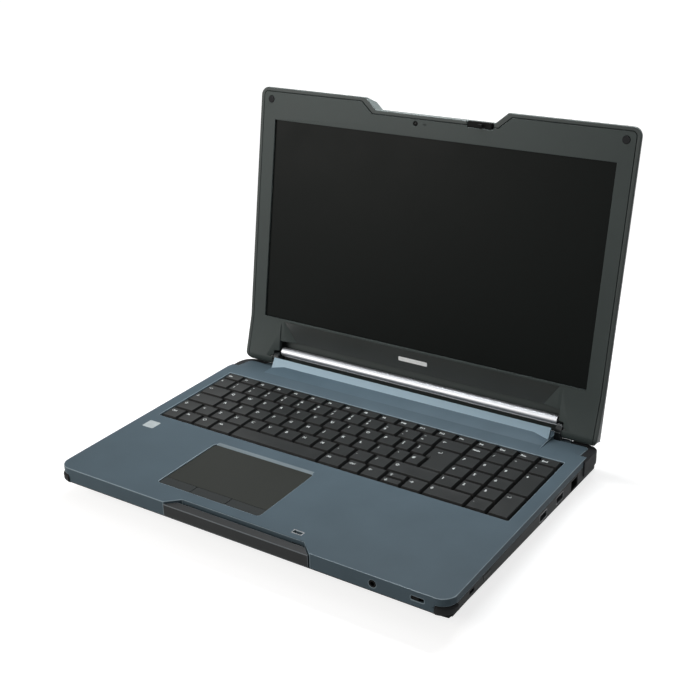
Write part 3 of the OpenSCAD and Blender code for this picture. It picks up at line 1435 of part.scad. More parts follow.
bottom_case();
top_case();
hinge_cover();
bumper_front_left();
bumper_front_right();
bumper_rear_left();
bumper_rear_right();
rubber_feet();
case_screws();
service_cover();
carry_handle();
keyboard_tray();
function_row_keys();
number_row_keys();
upper_row_keys();
home_row_keys();
lower_row_keys();
bottom_row_keys();
space_bar();
enter_key();
number_pad_keys();
touchpad();
touchpad_button_left();
touchpad_button_middle();
touchpad_button_right();
power_button();
wireless_switch();
headset_socket();
side_sockets();
network_socket();
rear_sockets();
power_socket();
motherboard();
heat_pipe();
heat_fins();
fan_housing();
fan_rotor();
memory_modules();
wireless_card();
storage_drive();
speakers();
battery_pack();
battery_latch();
optical_drive();
drive_tray();
drive_eject_button();
hinge_bracket_left();
hinge_bracket_right();
hinge_arm_left();
hinge_arm_right();
lid_cover();
lid_bezel();
glossy_panel();
hinge_bar();
display_panel();
camera_module();
antennas();
display_cable();
lid_plugs();
lid_latch();
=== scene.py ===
# %% [markdown]
# # A rugged notebook computer, dressed for a render
# The construction model gives every piece its place, its size and its joint. This file gives the pieces
# their looks: rounded edges, printed keys, paint, rubber, glass and metal. Each step is a short cell that
# says what the real piece is like, how it could be made, and why this way was chosen.

# %% Load the frame
import json
import math
import bmesh
import bpy
from mathutils import Euler, Matrix, Vector

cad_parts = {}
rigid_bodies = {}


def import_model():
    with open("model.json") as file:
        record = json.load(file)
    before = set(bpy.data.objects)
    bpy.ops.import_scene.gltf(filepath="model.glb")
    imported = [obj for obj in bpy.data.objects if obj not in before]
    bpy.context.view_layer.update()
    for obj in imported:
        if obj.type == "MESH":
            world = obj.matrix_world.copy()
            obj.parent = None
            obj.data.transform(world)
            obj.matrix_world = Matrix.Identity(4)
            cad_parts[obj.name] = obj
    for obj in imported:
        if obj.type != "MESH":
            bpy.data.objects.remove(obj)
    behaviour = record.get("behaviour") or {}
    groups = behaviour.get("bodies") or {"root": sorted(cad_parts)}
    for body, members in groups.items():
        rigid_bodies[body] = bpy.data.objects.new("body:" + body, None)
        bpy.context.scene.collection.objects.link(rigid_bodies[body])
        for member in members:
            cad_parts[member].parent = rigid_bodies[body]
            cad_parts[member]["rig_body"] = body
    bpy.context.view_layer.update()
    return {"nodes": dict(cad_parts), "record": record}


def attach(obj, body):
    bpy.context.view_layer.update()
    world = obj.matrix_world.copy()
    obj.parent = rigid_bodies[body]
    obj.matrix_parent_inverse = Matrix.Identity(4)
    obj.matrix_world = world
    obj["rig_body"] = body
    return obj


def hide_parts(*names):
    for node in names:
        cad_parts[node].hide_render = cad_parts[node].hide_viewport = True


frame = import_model()
nodes = frame["nodes"]

# %% [markdown]
# ## Millimetres, and two sets of directions
# A maker measures this computer in millimetres from the front edge of the base, so the cells below do too.
# `at` turns such a place into the scene's metres. The lid leans back about its hinge, so its own pieces are
# easier to measure upright from the hinge pin, and `on_lid` leans them back. Parenting to a tilted empty
# would also work, but a finished piece has to sit unturned at the origin, with its place in its mesh.

# %% Places
MM = 0.001
FRONT_TO_ORIGIN = 163.6554
HINGE_Y, HINGE_Z, LEAN = 272.3, 32.9, math.radians(9.94)
LID_TOP = 266.3


def at(x, y, z):
    return Vector((x * MM, (y - FRONT_TO_ORIGIN) * MM, z * MM))


def on_lid(x, back, up):
    y = HINGE_Y + back * math.cos(LEAN) + up * math.sin(LEAN)
    return at(x, y, HINGE_Z - back * math.sin(LEAN) + up * math.cos(LEAN))


print("lid's top edge is", round(on_lid(0, 0, LID_TOP).z / MM, 1), "mm above the table")

# %% [markdown]
# ## The camera
# A product shot of a notebook looks down over its right front corner with a fairly long lens, so that the
# keys and the screen both show. The place and turn below put the corners of the case where such a shot has
# them. A small shift slides the frame without changing the perspective.

# %% Camera
def in_scene(name, data):
    obj = bpy.data.objects.new(name, data)
    bpy.context.scene.collection.objects.link(obj)
    return obj


lens = bpy.data.cameras.new("shot")
lens.lens, lens.sensor_width = 60.355, 36
lens.shift_x, lens.shift_y = 0.0206, 0.0309
lens.clip_start, lens.clip_end = 0.05, 20
camera = in_scene("shot", lens)
camera.location = (0.50796, -0.75839, 0.52110)
camera.rotation_euler = Euler((1.13583, 0.02850, 0.58648))
bpy.context.scene.camera = camera
print("camera", tuple(round(v, 3) for v in camera.location), "lens", lens.lens)

# %% [markdown]
# ## One helper for all nodes
# A finish, and a rule that grows a piece, are both trees of nodes. Making a node takes the same few steps
# each time: add it, choose its options, and fill its inputs. `add_node` does all three. An input gets a
# number, or a wire from another node, or a list of wires where a socket takes several. The options come
# first, because some of them decide which inputs a node has.

# %% Node helpers
def add_node(tree, kind, inputs, **options):
    node = tree.nodes.new(kind)
    for option, value in options.items():
        setattr(node, option, value)
    for socket, value in inputs.items():
        for one in value if isinstance(value, list) else [value]:
            if isinstance(one, bpy.types.NodeSocket):
                tree.links.new(one, node.inputs[socket])
            else:
                node.inputs[socket].default_value = one
    return node


def maths(tree, kind, *values):
    return add_node(tree, "ShaderNodeMath", dict(enumerate(values)), operation=kind).outputs[0]


def remap(tree, value, old, new):
    sockets = {"Value": value, "From Min": old[0], "From Max": old[1], "To Min": new[0], "To Max": new[1]}
    return add_node(tree, "ShaderNodeMapRange", sockets).outputs["Result"]


def blank_finish(name):
    mat = bpy.data.materials.new(name)
    mat.use_nodes = True
    return mat, mat.node_tree, mat.node_tree.nodes["Principled BSDF"]


print("add_node, maths, remap and blank_finish are ready")

# %% [markdown]
# ## A pale studio
# Catalogue shots stand the object on a white sweep under large soft lamps. Here the sweep is a rounded sheet
# whose colour is lifted to white only for the eye and for reflections, through the Light Path node, so the
# lamps can stay at a plain level. Shadows under the case still show, because the lift is added to the lit
# surface and doesn't replace it. The lift grows with distance, where the lamps no longer reach.

# %% Sweep finish
SWEEP_GREY, SWEEP_ROUGH = 0.42, 0.9
LIFT_DISTANCE, LIFT = (0.35, 1.3), (0.76, 0.95)
WHITE = (1, 1, 1, 1)


def seen_directly(tree):
    ray = tree.nodes.new("ShaderNodeLightPath").outputs
    eye_or_gloss = maths(tree, "MAXIMUM", ray["Is Camera Ray"], ray["Is Glossy Ray"])
    return maths(tree, "MAXIMUM", eye_or_gloss, ray["Is Transmission Ray"])


def sweep_finish():
    mat, tree, shader = blank_finish("white_sweep")
    shader.inputs["Base Color"].default_value = (SWEEP_GREY, SWEEP_GREY, SWEEP_GREY, 1)
    shader.inputs["Roughness"].default_value = SWEEP_ROUGH
    place = tree.nodes.new("ShaderNodeTexCoord").outputs["Object"]
    away = add_node(tree, "ShaderNodeVectorMath", {0: place}, operation="LENGTH").outputs["Value"]
    strength = maths(tree, "MULTIPLY", seen_directly(tree), remap(tree, away, LIFT_DISTANCE, LIFT))
    lift = add_node(tree, "ShaderNodeEmission", {"Color": WHITE, "Strength": strength})
    both = add_node(tree, "ShaderNodeAddShader", {0: shader.outputs[0], 1: lift.outputs[0]})
    tree.links.new(both.outputs[0], tree.nodes["Material Output"].inputs["Surface"])
    return mat


SWEEP_FINISH = sweep_finish()
print("sweep finish has", len(SWEEP_FINISH.node_tree.nodes), "nodes")

# %% [markdown]
# ## The sweep itself
# Seen from the side, the sheet is a line: flat on the table, a quarter circle, then straight up. That line
# is drawn once, repeated on the other side, and faces are stretched between the two. The bend has no
# corner, so no line crosses the background.

# %% Floor and backdrop
SWEEP_SIDE, SWEEP_FRONT, SWEEP_TOP = 4.0, -3.0, 4.0
BEND_START, BEND_RADIUS, BEND_END, BEND_STEPS = 1.6, 0.8, 2.4, 10


def sweep():
    profile = [(SWEEP_FRONT, 0.0), (BEND_START, 0.0)]
    for step in range(1, BEND_STEPS + 1):
        turn = math.radians(90 / BEND_STEPS * step)
        along, up = math.sin(turn) * BEND_RADIUS, math.cos(turn) * BEND_RADIUS
        profile.append((BEND_START + along, BEND_RADIUS - up))
    profile.append((BEND_END, SWEEP_TOP))
    bm = bmesh.new()
    left, right = [[bm.verts.new((x, y, z)) for y, z in profile] for x in (-SWEEP_SIDE, SWEEP_SIDE)]
    for i in range(len(profile) - 1):
        bm.faces.new((left[i], right[i], right[i + 1], left[i + 1])).smooth = True
    mesh = bpy.data.meshes.new("white_sweep")
    bm.to_mesh(mesh)
    bm.free()
    mesh.materials.append(SWEEP_FINISH)
    obj = in_scene("white_sweep", mesh)


sweep()
print("the sweep runs", SWEEP_SIDE, "m wide either side of the object")

# %% [markdown]
# ## Soft light
# A slightly warm lamp stands near the front left, so the lid and the deck grow darker towards the right and
# the right side wall lies in shade, which shows the case's form. A cooler one hangs above the keys. The lid
# would shade the hinge and the rear of the deck, so a narrow lamp hangs just behind the plane of the screen:
# it lights the deck, but not the bezel. A long strip behind the lid draws the bright lines along its rounded
# edges. The world fills the shadows, and it is white only where it is seen directly or in a reflection.

# %% Lamps and world
SKY_FILL, SKY_SEEN = 0.24, 1.0


def lamp(name, place, aim, size, watts, tint=(1, 1, 1)):
    data = bpy.data.lights.new(name, "AREA")
    data.color = tint
    data.shape, data.energy = "RECTANGLE", watts
    data.size, data.size_y = size
    obj = in_scene(name, data)
    obj.location = place
    obj.rotation_euler = (Vector(aim) - Vector(place)).to_track_quat("-Z", "Y").to_euler()
    obj.visible_camera = False


lamp("front_left_lamp", (-0.80, -0.97, 0.56), aim=(0, 0, 0.08), size=(0.7, 0.7), watts=10.0,
     tint=(1.0, 0.96, 0.91))
lamp("high_lamp", (-0.16, 0.08, 0.66), aim=(0, 0.04, 0.03), size=(0.45, 0.3), watts=0.5,
     tint=(0.93, 0.97, 1.0))
lamp("hinge_lamp", (0.01, 0.19, 0.48), aim=(0.02, 0.05, 0.03), size=(0.40, 0.05), watts=2.9,
     tint=(0.96, 0.98, 1.0))
lamp("edge_lamp", (0.1, 1.3, 1.6), aim=(0, 0.05, 0.1), size=(1.8, 0.5), watts=1.1)
world = bpy.data.worlds.new("studio")
bpy.context.scene.world = world
world.use_nodes = True
sky = world.node_tree.nodes["Background"]
sky.inputs["Color"].default_value = WHITE
sky_level = remap(world.node_tree, seen_directly(world.node_tree), (0, 1), (SKY_FILL, SKY_SEEN))
world.node_tree.links.new(sky_level, sky.inputs["Strength"])
bpy.context.scene.view_settings.view_transform = "Standard"

# %% [markdown]
# ## How a finish is put together
# Paint, plastic and rubber are never one flat colour: moulding leaves faint cloudy patches, the mould's
# etched grain breaks up the gloss, and handling polishes some places more than others. `finish` builds this
# once, from two noises on Object coordinates: a broad one that shifts colour and roughness, and a fine one
# that raises the grain. Sizes are given in millimetres, so that the grain stays at its real scale. Each
# finish is kept in FIN under its name.

# %% Finish builder
FIN = {}
NOISE_BAND, MM_IN_METRE = (0.3, 0.7), 1000
BROAD_DETAIL, FINE_DETAIL = 3.0, 2.0
ROUGH_VARY, BUMP_STRENGTH = 0.06, 0.6


def srgb(*levels):
    shares = [level / 255 for level in levels]
    return tuple(c / 12.92 if c <= 0.04045 else ((c + 0.055) / 1.055) ** 2.4 for c in shares)


def noise(tree, place, size_mm, detail):
    sockets = {"Vector": place, "Scale": MM_IN_METRE / size_mm, "Detail": detail}
    return add_node(tree, "ShaderNodeTexNoise", sockets).outputs["Fac"]


def finish(name, colour, rough, metal=0.0, mottle=0.06, mottle_mm=35, grain_mm=0.5, grain_depth=0.02,
           gloss=0.5):
    mat, tree, shader = blank_finish(name)
    place = tree.nodes.new("ShaderNodeTexCoord").outputs["Object"]
    broad = noise(tree, place, mottle_mm, BROAD_DETAIL)
    fine = noise(tree, place, grain_mm, FINE_DETAIL)
    dark = (*[c * (1 - mottle) for c in srgb(*colour)], 1)
    light = (*[min(c * (1 + mottle), 1) for c in srgb(*colour)], 1)
    shade = {"Factor": remap(tree, broad, NOISE_BAND, (0, 1)), "A": dark, "B": light}
    worn = remap(tree, broad, NOISE_BAND, (rough - ROUGH_VARY, rough))
    grain = {"Strength": BUMP_STRENGTH, "Distance": grain_depth * MM, "Height": fine}
    shader.inputs["Metallic"].default_value = metal
    shader.inputs["Specular IOR Level"].default_value = gloss
    for socket, wire in (
            ("Base Color", add_node(tree, "ShaderNodeMix", shade, data_type="RGBA").outputs["Result"]),
            ("Roughness", maths(tree, "MULTIPLY_ADD", fine, ROUGH_VARY, worn)),
            ("Normal", add_node(tree, "ShaderNodeBump", grain).outputs["Normal"])):
        tree.links.new(wire, shader.inputs[socket])
    FIN[name] = mat


print("finish() ready; a mid grey of 128 is", round(srgb(128)[0], 3), "in linear light")

# %% [markdown]
# ## The finishes of this computer
# The palm rest and the front are a matt blue-grey lacquer, the lid's frame is a greyer coat of the same
# kind, and everything that gets knocked is black: rubber corners, the handle and the plastic tub. Each line
# gives a colour, a roughness, and the scale and depth of the grain. Where a number follows the roughness, it
# says how metallic the finish is: 1 for bare metal, and a little for lacquer with metal flakes in it.

# %% Finishes
finish("deck_paint", (73, 86, 94), 0.5, grain_mm=0.35, grain_depth=0.012, gloss=0.05)
finish("case_plastic", (21, 24, 25), 0.55, grain_mm=0.7, grain_depth=0.05, gloss=0.12)
# The hinge cover's sloping face is a lighter, bluer copy of the deck-like ramp paint: painted light, for the
# light and sheen that face catches.
finish("hump_paint", (114, 134, 146), 0.38, 0.2, gloss=0.3, mottle=0.04, grain_mm=0.3, grain_depth=0.008)
finish("bumper_rubber", (20, 21, 23), 0.7, grain_mm=0.9, grain_depth=0.06, gloss=0.2)
finish("key_plastic", (33, 35, 35), 0.48, grain_mm=0.3, grain_depth=0.012, mottle_mm=14, gloss=0.15)
finish("tray_plastic", (9, 10, 10), 0.6, grain_mm=0.6, grain_depth=0.03, gloss=0.12)
finish("touch_plastic", (37, 39, 36), 0.55, grain_mm=0.25, grain_depth=0.01, gloss=0.1)
finish("button_plastic", (37, 40, 40), 0.5, grain_mm=0.3, grain_depth=0.01, gloss=0.1)
finish("bezel_plastic", (62, 69, 68), 0.46, grain_mm=0.35, grain_depth=0.012, gloss=0.14)
finish("gloss_black", (61, 64, 63), 0.2, grain_mm=2.0, grain_depth=0.002, mottle=0.03, gloss=0.35)
finish("bar_metal", (186, 188, 192), 0.48, 1.0, mottle=0.03, grain_mm=0.2, grain_depth=0.003)
finish("screen_glass", (17, 20, 19), 0.38, gloss=0.05, mottle=0.03, grain_mm=0.2, grain_depth=0.002)
finish("steel", (112, 114, 116), 0.4, 1.0, grain_mm=0.3, grain_depth=0.006)
finish("board_green", (28, 74, 48), 0.45, grain_mm=1.2, grain_depth=0.02, mottle=0.2, mottle_mm=6)
finish("copper", (184, 110, 72), 0.3, 1.0, grain_mm=0.4, grain_depth=0.006)
finish("plain_aluminium", (176, 178, 180), 0.4, 1.0, grain_mm=0.3, grain_depth=0.006)
finish("socket_black", (13, 14, 14), 0.55, grain_mm=0.5, grain_depth=0.02, gloss=0.06)
finish("ramp_paint", (71, 87, 97), 0.42, grain_mm=0.3, grain_depth=0.01, gloss=0.2)
finish("lid_frame", (60, 66, 65), 0.46, grain_mm=0.35, grain_depth=0.012, gloss=0.2)
# The hinge parts' dark finish is painted shade for the gap between the hinge cover and the lid's ears.
finish("hinge_painted_shade", (34, 37, 38), 0.42, 0.3, grain_mm=0.4, grain_depth=0.01, gloss=0.3)
finish("handle_plastic", (24, 26, 27), 0.5, grain_mm=0.6, grain_depth=0.03, gloss=0.2)
print(len(FIN), "finishes made")

# %% [markdown]
# ## Which piece gets which finish
# The construction model's record names a material slot for every piece, and most pieces take the finish of
# that name. A few share a slot but get a finish of their own. The hinge brackets and arms are steel like the
# screws, but their dark finish is painted shade: it stands in for the dark gap between the hinge cover and
# the lid's ears. Those are listed by name.

# %% Hand out the finishes
slot_of = {part["node"]: part["material_slot"] for part in frame["record"]["subparts"]}
own_finish = {"lid_cover": "lid_frame", "carry_handle": "handle_plastic"}
for side in ("left", "right"):
    # Dark finish on the steel hinge parts: painted shade.
    own_finish.update({"hinge_bracket_" + side: "hinge_painted_shade", "hinge_arm_" + side: "hinge_painted_shade"})
finish_of = {name: FIN[own_finish.get(name, slot_of[name])] for name in nodes}
for name, obj in nodes.items():
    obj.data.materials.clear()
    obj.data.materials.append(finish_of[name])
print(len(finish_of), "pieces have a finish,", len(own_finish), "of them one of their own")

# %% [markdown]
# ## Copies to work on
# The construction meshes are loose triangles, and they also serve for collision, so they are left alone. A
# stand-in starts as a copy whose triangles are merged: first the corners that share a place, then the edges
# that run across a flat face. `add_piece` turns such a copy into an object on the right body.

# %% Copy and add
SAME_PLACE, SAME_PLANE = 0.002 * MM, math.radians(0.4)


def joined_copy(node):
    bm = bmesh.new()
    bm.from_mesh(nodes[node].data)
    bmesh.ops.remove_doubles(bm, verts=bm.verts, dist=SAME_PLACE)
    bmesh.ops.dissolve_limit(bm, angle_limit=SAME_PLANE, verts=bm.verts, edges=bm.edges)
    return bm


def add_piece(name, bm, body, *finishes):
    mesh = bpy.data.meshes.new(name)
    bm.to_mesh(mesh)
    bm.free()
    for mat in finishes:
        mesh.materials.append(mat)
    obj = in_scene(name, mesh)
    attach(obj, body)
    return obj


print("joined_copy and add_piece are ready")

# %% [markdown]
# ## Rounded edges
# A moulded or machined edge is never perfectly sharp, and the thin bright line it catches is what makes a
# part look solid. So each piece that shows gets a stand-in with a small Bevel left live on it. A bevel tears
# a large face with many holes but leaves triangles whole, so the faces of the pieces in CUT_FIRST are cut
# into triangles again beforehand. On the top case only the hidden lower side is cut: the painted deck stays
# one face, because slim triangles would show as creases on it. On the pieces in CLAMPED most triangles are
# slim, so their bevel may narrow itself rather than fold one over. `edge` is an optional second finish for
# the rounded strip itself, and `other` is one for the faces that `where` picks.

# %% Round one piece
SHARP, BEVEL_STEPS = math.radians(32), 2


def every_face(face):
    return True


def hidden_side(face):
    return face.normal.z < -0.5


CLAMPED = {"bottom_case", "hinge_cover", "keyboard_tray", "drive_tray", "service_cover"}
CUT_FIRST = dict.fromkeys(CLAMPED | {"carry_handle", "bumper_front_left", "bumper_front_right"}, every_face)
CUT_FIRST["top_case"] = hidden_side


def rounded(node, width_mm, edge=None, other=None, where=None):
    bm = joined_copy(node)
    if node in CUT_FIRST:
        cut = [face for face in bm.faces if CUT_FIRST[node](face)]
        bmesh.ops.triangulate(bm, faces=cut, quad_method="BEAUTY", ngon_method="BEAUTY")
    for face in bm.faces:
        face.smooth = True
        face.material_index = 2 if other and where(face) else 0
    body = nodes[node]["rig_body"]
    finishes = [finish_of[node], edge or finish_of[node]] + ([other] if other else [])
    obj = add_piece("rounded_" + node, bm, body, *finishes)
    bevel = obj.modifiers.new("round", "BEVEL")
    bevel.width, bevel.segments = width_mm * MM, BEVEL_STEPS
    bevel.limit_method, bevel.angle_limit = "ANGLE", SHARP
    bevel.use_clamp_overlap = node in CLAMPED
    bevel.miter_outer = "MITER_ARC"
    if edge:
        bevel.material = 1
    even = obj.modifiers.new("even_shade", "WEIGHTED_NORMAL")
    even.weight, even.keep_sharp = 100, True
    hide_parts(node)


print(len(CUT_FIRST), "pieces are cut first,", len(CLAMPED), "of them with a bevel that may narrow")

# %% [markdown]
# ## Widths, and the paint on edges
# A rubber corner is rounder than a pressed bracket, so each piece has a width of its own, in millimetres.
# Hands polish the edges of the deck and of the handle, so those strips are glossier; their lighter colour is
# a painted highlight, the bright line such an edge catches.
# The lid's rim keeps the colour of its frame, with a finer grain. The slope down to the touchpad is lighter
# than the deck, a painted highlight; the lid's painted back and the flat top of the hinge cover are coats of
# their own too. Their faces are found by the
# way they point, because a list of face numbers wouldn't survive a change of the construction model.

# %% Round the pieces
# The lighter colour of the deck's and the handle's edge strips is a painted highlight; their extra gloss is
# the polish of hands.
finish("deck_edge_polish_and_highlight", (108, 123, 131), 0.4, 0.05, grain_mm=0.35, grain_depth=0.006, gloss=0.3)
finish("rim_edge", (60, 66, 65), 0.46, 0.05, grain_mm=0.35, grain_depth=0.006, gloss=0.2)
# The touchpad slope's lighter colour is a painted highlight on the bevel that faces forward.
finish("pad_slope_painted_highlight", (102, 113, 118), 0.4, 0.05, grain_mm=0.35, grain_depth=0.006, gloss=0.2)
finish("handle_edge_polish_and_highlight", (74, 80, 84), 0.4, grain_mm=0.5, grain_depth=0.01, gloss=0.3)
ROUND = {
    "top_case": 0.6, "bottom_case": 0.25, "hinge_cover": 0.5, "lid_cover": 0.8, "lid_bezel": 0.35,
    "glossy_panel": 0.15, "bumper_front_left": 0.8, "bumper_front_right": 0.8, "bumper_rear_left": 0.8,
    "bumper_rear_right": 0.8, "carry_handle": 0.6, "keyboard_tray": 0.2, "touchpad": 0.15,
    "touchpad_button_left": 0.2, "touchpad_button_middle": 0.2, "touchpad_button_right": 0.2,
    "enter_key": 0.35, "rubber_feet": 0.5, "service_cover": 0.3, "battery_pack": 0.5, "battery_latch": 0.25,
    "drive_tray": 0.2, "drive_eject_button": 0.1, "power_button": 0.2, "wireless_switch": 0.2,
    "lid_latch": 0.2, "hinge_bar": 0.3, "display_panel": 0.2, "hinge_bracket_left": 0.2,
    "hinge_bracket_right": 0.2, "hinge_arm_left": 0.2, "hinge_arm_right": 0.2, "side_sockets": 0.08,
    "network_socket": 0.1, "rear_sockets": 0.1, "power_socket": 0.1,
}
# The edge strips of the deck and the handle carry a painted highlight.
EDGE = {"top_case": FIN["deck_edge_polish_and_highlight"], "lid_cover": FIN["rim_edge"], "carry_handle": FIN["handle_edge_polish_and_highlight"]}
lid_back = (on_lid(0, 1, 0) - on_lid(0, 0, 0)).normalized()
OTHER = {
    # The forward-facing slope to the touchpad takes the painted highlight.
    "top_case": (FIN["pad_slope_painted_highlight"], lambda face: 0.9 < face.normal.z < 0.99 and face.normal.y < -0.1),
    "lid_cover": (FIN["deck_paint"], lambda face: face.normal.dot(lid_back) > 0.9),
    # Only the flat top takes the deck-like ramp paint; the rest of the hinge cover keeps the lighter copy,
    # which is painted light.
    "hinge_cover": (FIN["ramp_paint"], lambda face: face.normal.z > 0.95),
}
for node, width in ROUND.items():
    rounded(node, width, EDGE.get(node), *OTHER.get(node, (None, None)))
print(len(ROUND), "rounded stand-ins")

# %% [markdown]
# ## The keys
# Every key is a moulded cap with sloping sides and a shallow dish on top. The caps differ only in their
# outline, so they follow one rule, and Geometry Nodes can build them all from flat outlines. Scaling one cap
# to fit each place would be quicker, but it would stretch the slopes on wide keys. The outlines are read
# from the construction keys, so the two can't drift apart: `islands` walks along the edges from corner to
# corner until a key is complete, and notes its lowest and highest place.

# %% Key outlines
def islands(node):
    bm = joined_copy(node)
    left, boxes = set(bm.verts), []
    while left:
        todo, seen = [left.pop()], []
        while todo:
            corner = todo.pop()
            seen.append(corner.co.copy())
            for edge in corner.link_edges:
                other = edge.other_vert(corner)
                if other in left:
                    left.remove(other)
                    todo.append(other)
        boxes.append([Vector([pick(place[i] for place in seen) for i in range(3)]) for pick in (min, max)])
    bm.free()
    return sorted(boxes, key=lambda box: (round(box[0].x, 4), -box[0].y))


KEY_ROWS = {name: islands(name) for name in (
    "function_row_keys", "number_row_keys", "upper_row_keys", "home_row_keys", "lower_row_keys",
    "bottom_row_keys", "space_bar", "number_pad_keys")}
CAP_TOP = max(high.z for low, high in KEY_ROWS["number_row_keys"])
print({name: len(boxes) for name, boxes in KEY_ROWS.items()}, "cap top", round(CAP_TOP / MM, 2), "mm")

# %% [markdown]
# ## Starting and ending a tree
# All the trees in this file begin and end in the same way. `new_tree` gives one its named inputs, so that
# its sizes can be set from outside. `end_tree` makes copies real, because an exported model can't hold
# instances, and then lays on one coat after another, each on all faces or on those that a wire picks.

# %% Tree helpers
def new_tree(name, inputs, output):
    tree = bpy.data.node_groups.new(name, "GeometryNodeTree")
    for label, kind in inputs:
        tree.interface.new_socket(label, in_out="INPUT", socket_type="NodeSocket" + kind)
    tree.interface.new_socket(output, in_out="OUTPUT", socket_type="NodeSocketGeometry")
    return tree, tree.nodes.new("NodeGroupInput").outputs


def end_tree(tree, mesh, *coats):
    mesh = add_node(tree, "GeometryNodeRealizeInstances", {0: mesh}).outputs[0]
    for mat, where in coats:
        sockets = {"Geometry": mesh, "Material": mat}
        if where:
            sockets["Selection"] = where
        mesh = add_node(tree, "GeometryNodeSetMaterial", sockets).outputs[0]
    tree.links.new(mesh, tree.nodes.new("NodeGroupOutput").inputs[0])


print("new_tree and end_tree are ready")

# %% [markdown]
# ## Two moves that a cap needs
# `raised` lifts faces on walls of their own, each by itself, so that neighbouring keys stay apart. To draw a
# corner in, the tree has to know which way its key's middle lies. `to_middle` captures the middle of each
# face before anything moves, and measures from every corner to it.

# %% Raise, and find the middle
def raised(tree, mesh, height, top=None):
    sockets = {"Mesh": mesh, "Offset Scale": height, "Individual": True}
    if top:
        sockets["Selection"] = top
    return add_node(tree, "GeometryNodeExtrudeMesh", sockets, mode="FACES").outputs


def to_middle(tree, outlines):
    place = tree.nodes.new("GeometryNodeInputPosition").outputs[0]
    middle = tree.nodes.new("GeometryNodeCaptureAttribute")
    middle.domain = "FACE"
    middle.capture_items.new("VECTOR", "Middle")
    tree.links.new(outlines, middle.inputs["Geometry"])
    tree.links.new(place, middle.inputs["Middle"])
    ends = {0: middle.outputs["Middle"], 1: place}
    way = add_node(tree, "ShaderNodeVectorMath", ends, operation="SUBTRACT").outputs[0]
    return middle.outputs["Geometry"], add_node(tree, "ShaderNodeSeparateXYZ", {0: way}).outputs


print("raised and to_middle are ready")

# %% [markdown]
# ## The rule that grows a cap
# A keycap mould tapers so that the cap can leave it, and its top is pressed hollow to guide the finger. The
# tree does the same to a flat outline: it raises it, draws the top in by a fixed slope, then sinks the
# middle by the depth of the dish. Extruding a face leaves its underside open, so the outline is turned over
# and joined on as the cap's floor, and the corners that meet are merged.

# %% Key cap tree
CAP_WELD = 0.01 * MM


def key_cap_tree():
    sizes = ("Height", "Side slope", "Front slope", "Rear slope", "Rim", "Dish")
    tree, given = new_tree("key_caps", [("Outlines", "Geometry"), *((size, "Float") for size in sizes),
                                        ("Finish", "Material"), ("Side shade finish", "Material")], "Caps")
    flat, way = to_middle(tree, given["Outlines"])
    in_x, in_y = maths(tree, "SIGN", way["X"]), maths(tree, "SIGN", way["Y"])
    at_front = maths(tree, "GREATER_THAN", way["Y"], 0)
    at_rear = maths(tree, "SUBTRACT", 1, at_front)

    def drawn_in(mesh, top, side, front, rear):
        front, rear = maths(tree, "MULTIPLY", front, at_front), maths(tree, "MULTIPLY", rear, at_rear)
        depth = maths(tree, "ADD", front, rear)
        move = add_node(tree, "ShaderNodeCombineXYZ", {"X": maths(tree, "MULTIPLY", in_x, side),
                                                       "Y": maths(tree, "MULTIPLY", in_y, depth)})
        sockets = {"Geometry": mesh, "Selection": top, "Offset": move.outputs[0]}
        return add_node(tree, "GeometryNodeSetPosition", sockets).outputs[0]

    body = raised(tree, flat, given["Height"])
    sloped = drawn_in(body["Mesh"], body["Top"],
                      given["Side slope"], given["Front slope"], given["Rear slope"])
    dish = raised(tree, sloped, maths(tree, "MULTIPLY", given["Dish"], -1), body["Top"])
    dished = drawn_in(dish["Mesh"], dish["Top"], given["Rim"], given["Rim"], given["Rim"])
    floor = add_node(tree, "GeometryNodeFlipFaces", {"Mesh": given["Outlines"]}).outputs[0]
    whole = add_node(tree, "GeometryNodeJoinGeometry", {0: [dished, floor]}).outputs[0]
    shut = add_node(tree, "GeometryNodeMergeByDistance", {"Geometry": whole, "Distance": CAP_WELD}).outputs[0]
    # The sides take the darker finish, painted shade for the gaps between keys.
    end_tree(tree, shut, (given["Finish"], None), (given["Side shade finish"], body["Side"]))
    return tree


KEY_TREE = key_cap_tree()
print("key cap tree has", len(KEY_TREE.nodes), "nodes")

# %% [markdown]
# ## From a tree to a plain mesh
# A tree's result is baked: the finished mesh is taken from the evaluated object and the modifier is thrown
# away. The inputs are set by their identifiers before anything is evaluated, because a name can repeat and
# an identifier can't. Some nodes leave an empty material slot behind, which is dropped here.

# %% Bake and outline
def baked(name, start, tree, values):
    obj = in_scene(name, start)
    grow = obj.modifiers.new("grow", "NODES")
    grow.node_group = tree
    ids = {i.name: i.identifier for i in tree.interface.items_tree if getattr(i, "in_out", "") == "INPUT"}
    for label, value in values.items():
        grow[ids[label]] = value
    bpy.context.view_layer.update()
    result = bpy.data.meshes.new_from_object(obj.evaluated_get(bpy.context.evaluated_depsgraph_get()))
    bpy.data.objects.remove(obj)
    for i in reversed(range(len(result.materials))):
        if result.materials[i] is None:
            result.materials.pop(index=i)
    return result


def outline_mesh(name, boxes, z):
    bm = bmesh.new()
    for low, high in boxes:
        corners = ((low.x, low.y), (high.x, low.y), (high.x, high.y), (low.x, high.y))
        bm.faces.new([bm.verts.new((x, y, z)) for x, y in corners])
    mesh = bpy.data.meshes.new(name)
    bm.to_mesh(mesh)
    bm.free()
    return mesh


print("baked and outline_mesh are ready")

# %% [markdown]
# ## Growing the caps
# There is one mesh of caps for each body that moves. A Bevel rounds every edge that is sharper than the rim
# of the dish, which is soft already. The caps' sides get a rougher finish than their tops, because only
# fingertips polish a key, and a darker colour, which is painted shade for the narrow gaps between keys.

# %% Grow the caps
CAP_HEIGHT, DISH = 3.3 * MM, 0.14 * MM
CAP_ROUND, CAP_SHARP, CAP_STEPS = 0.22 * MM, math.radians(9), 2
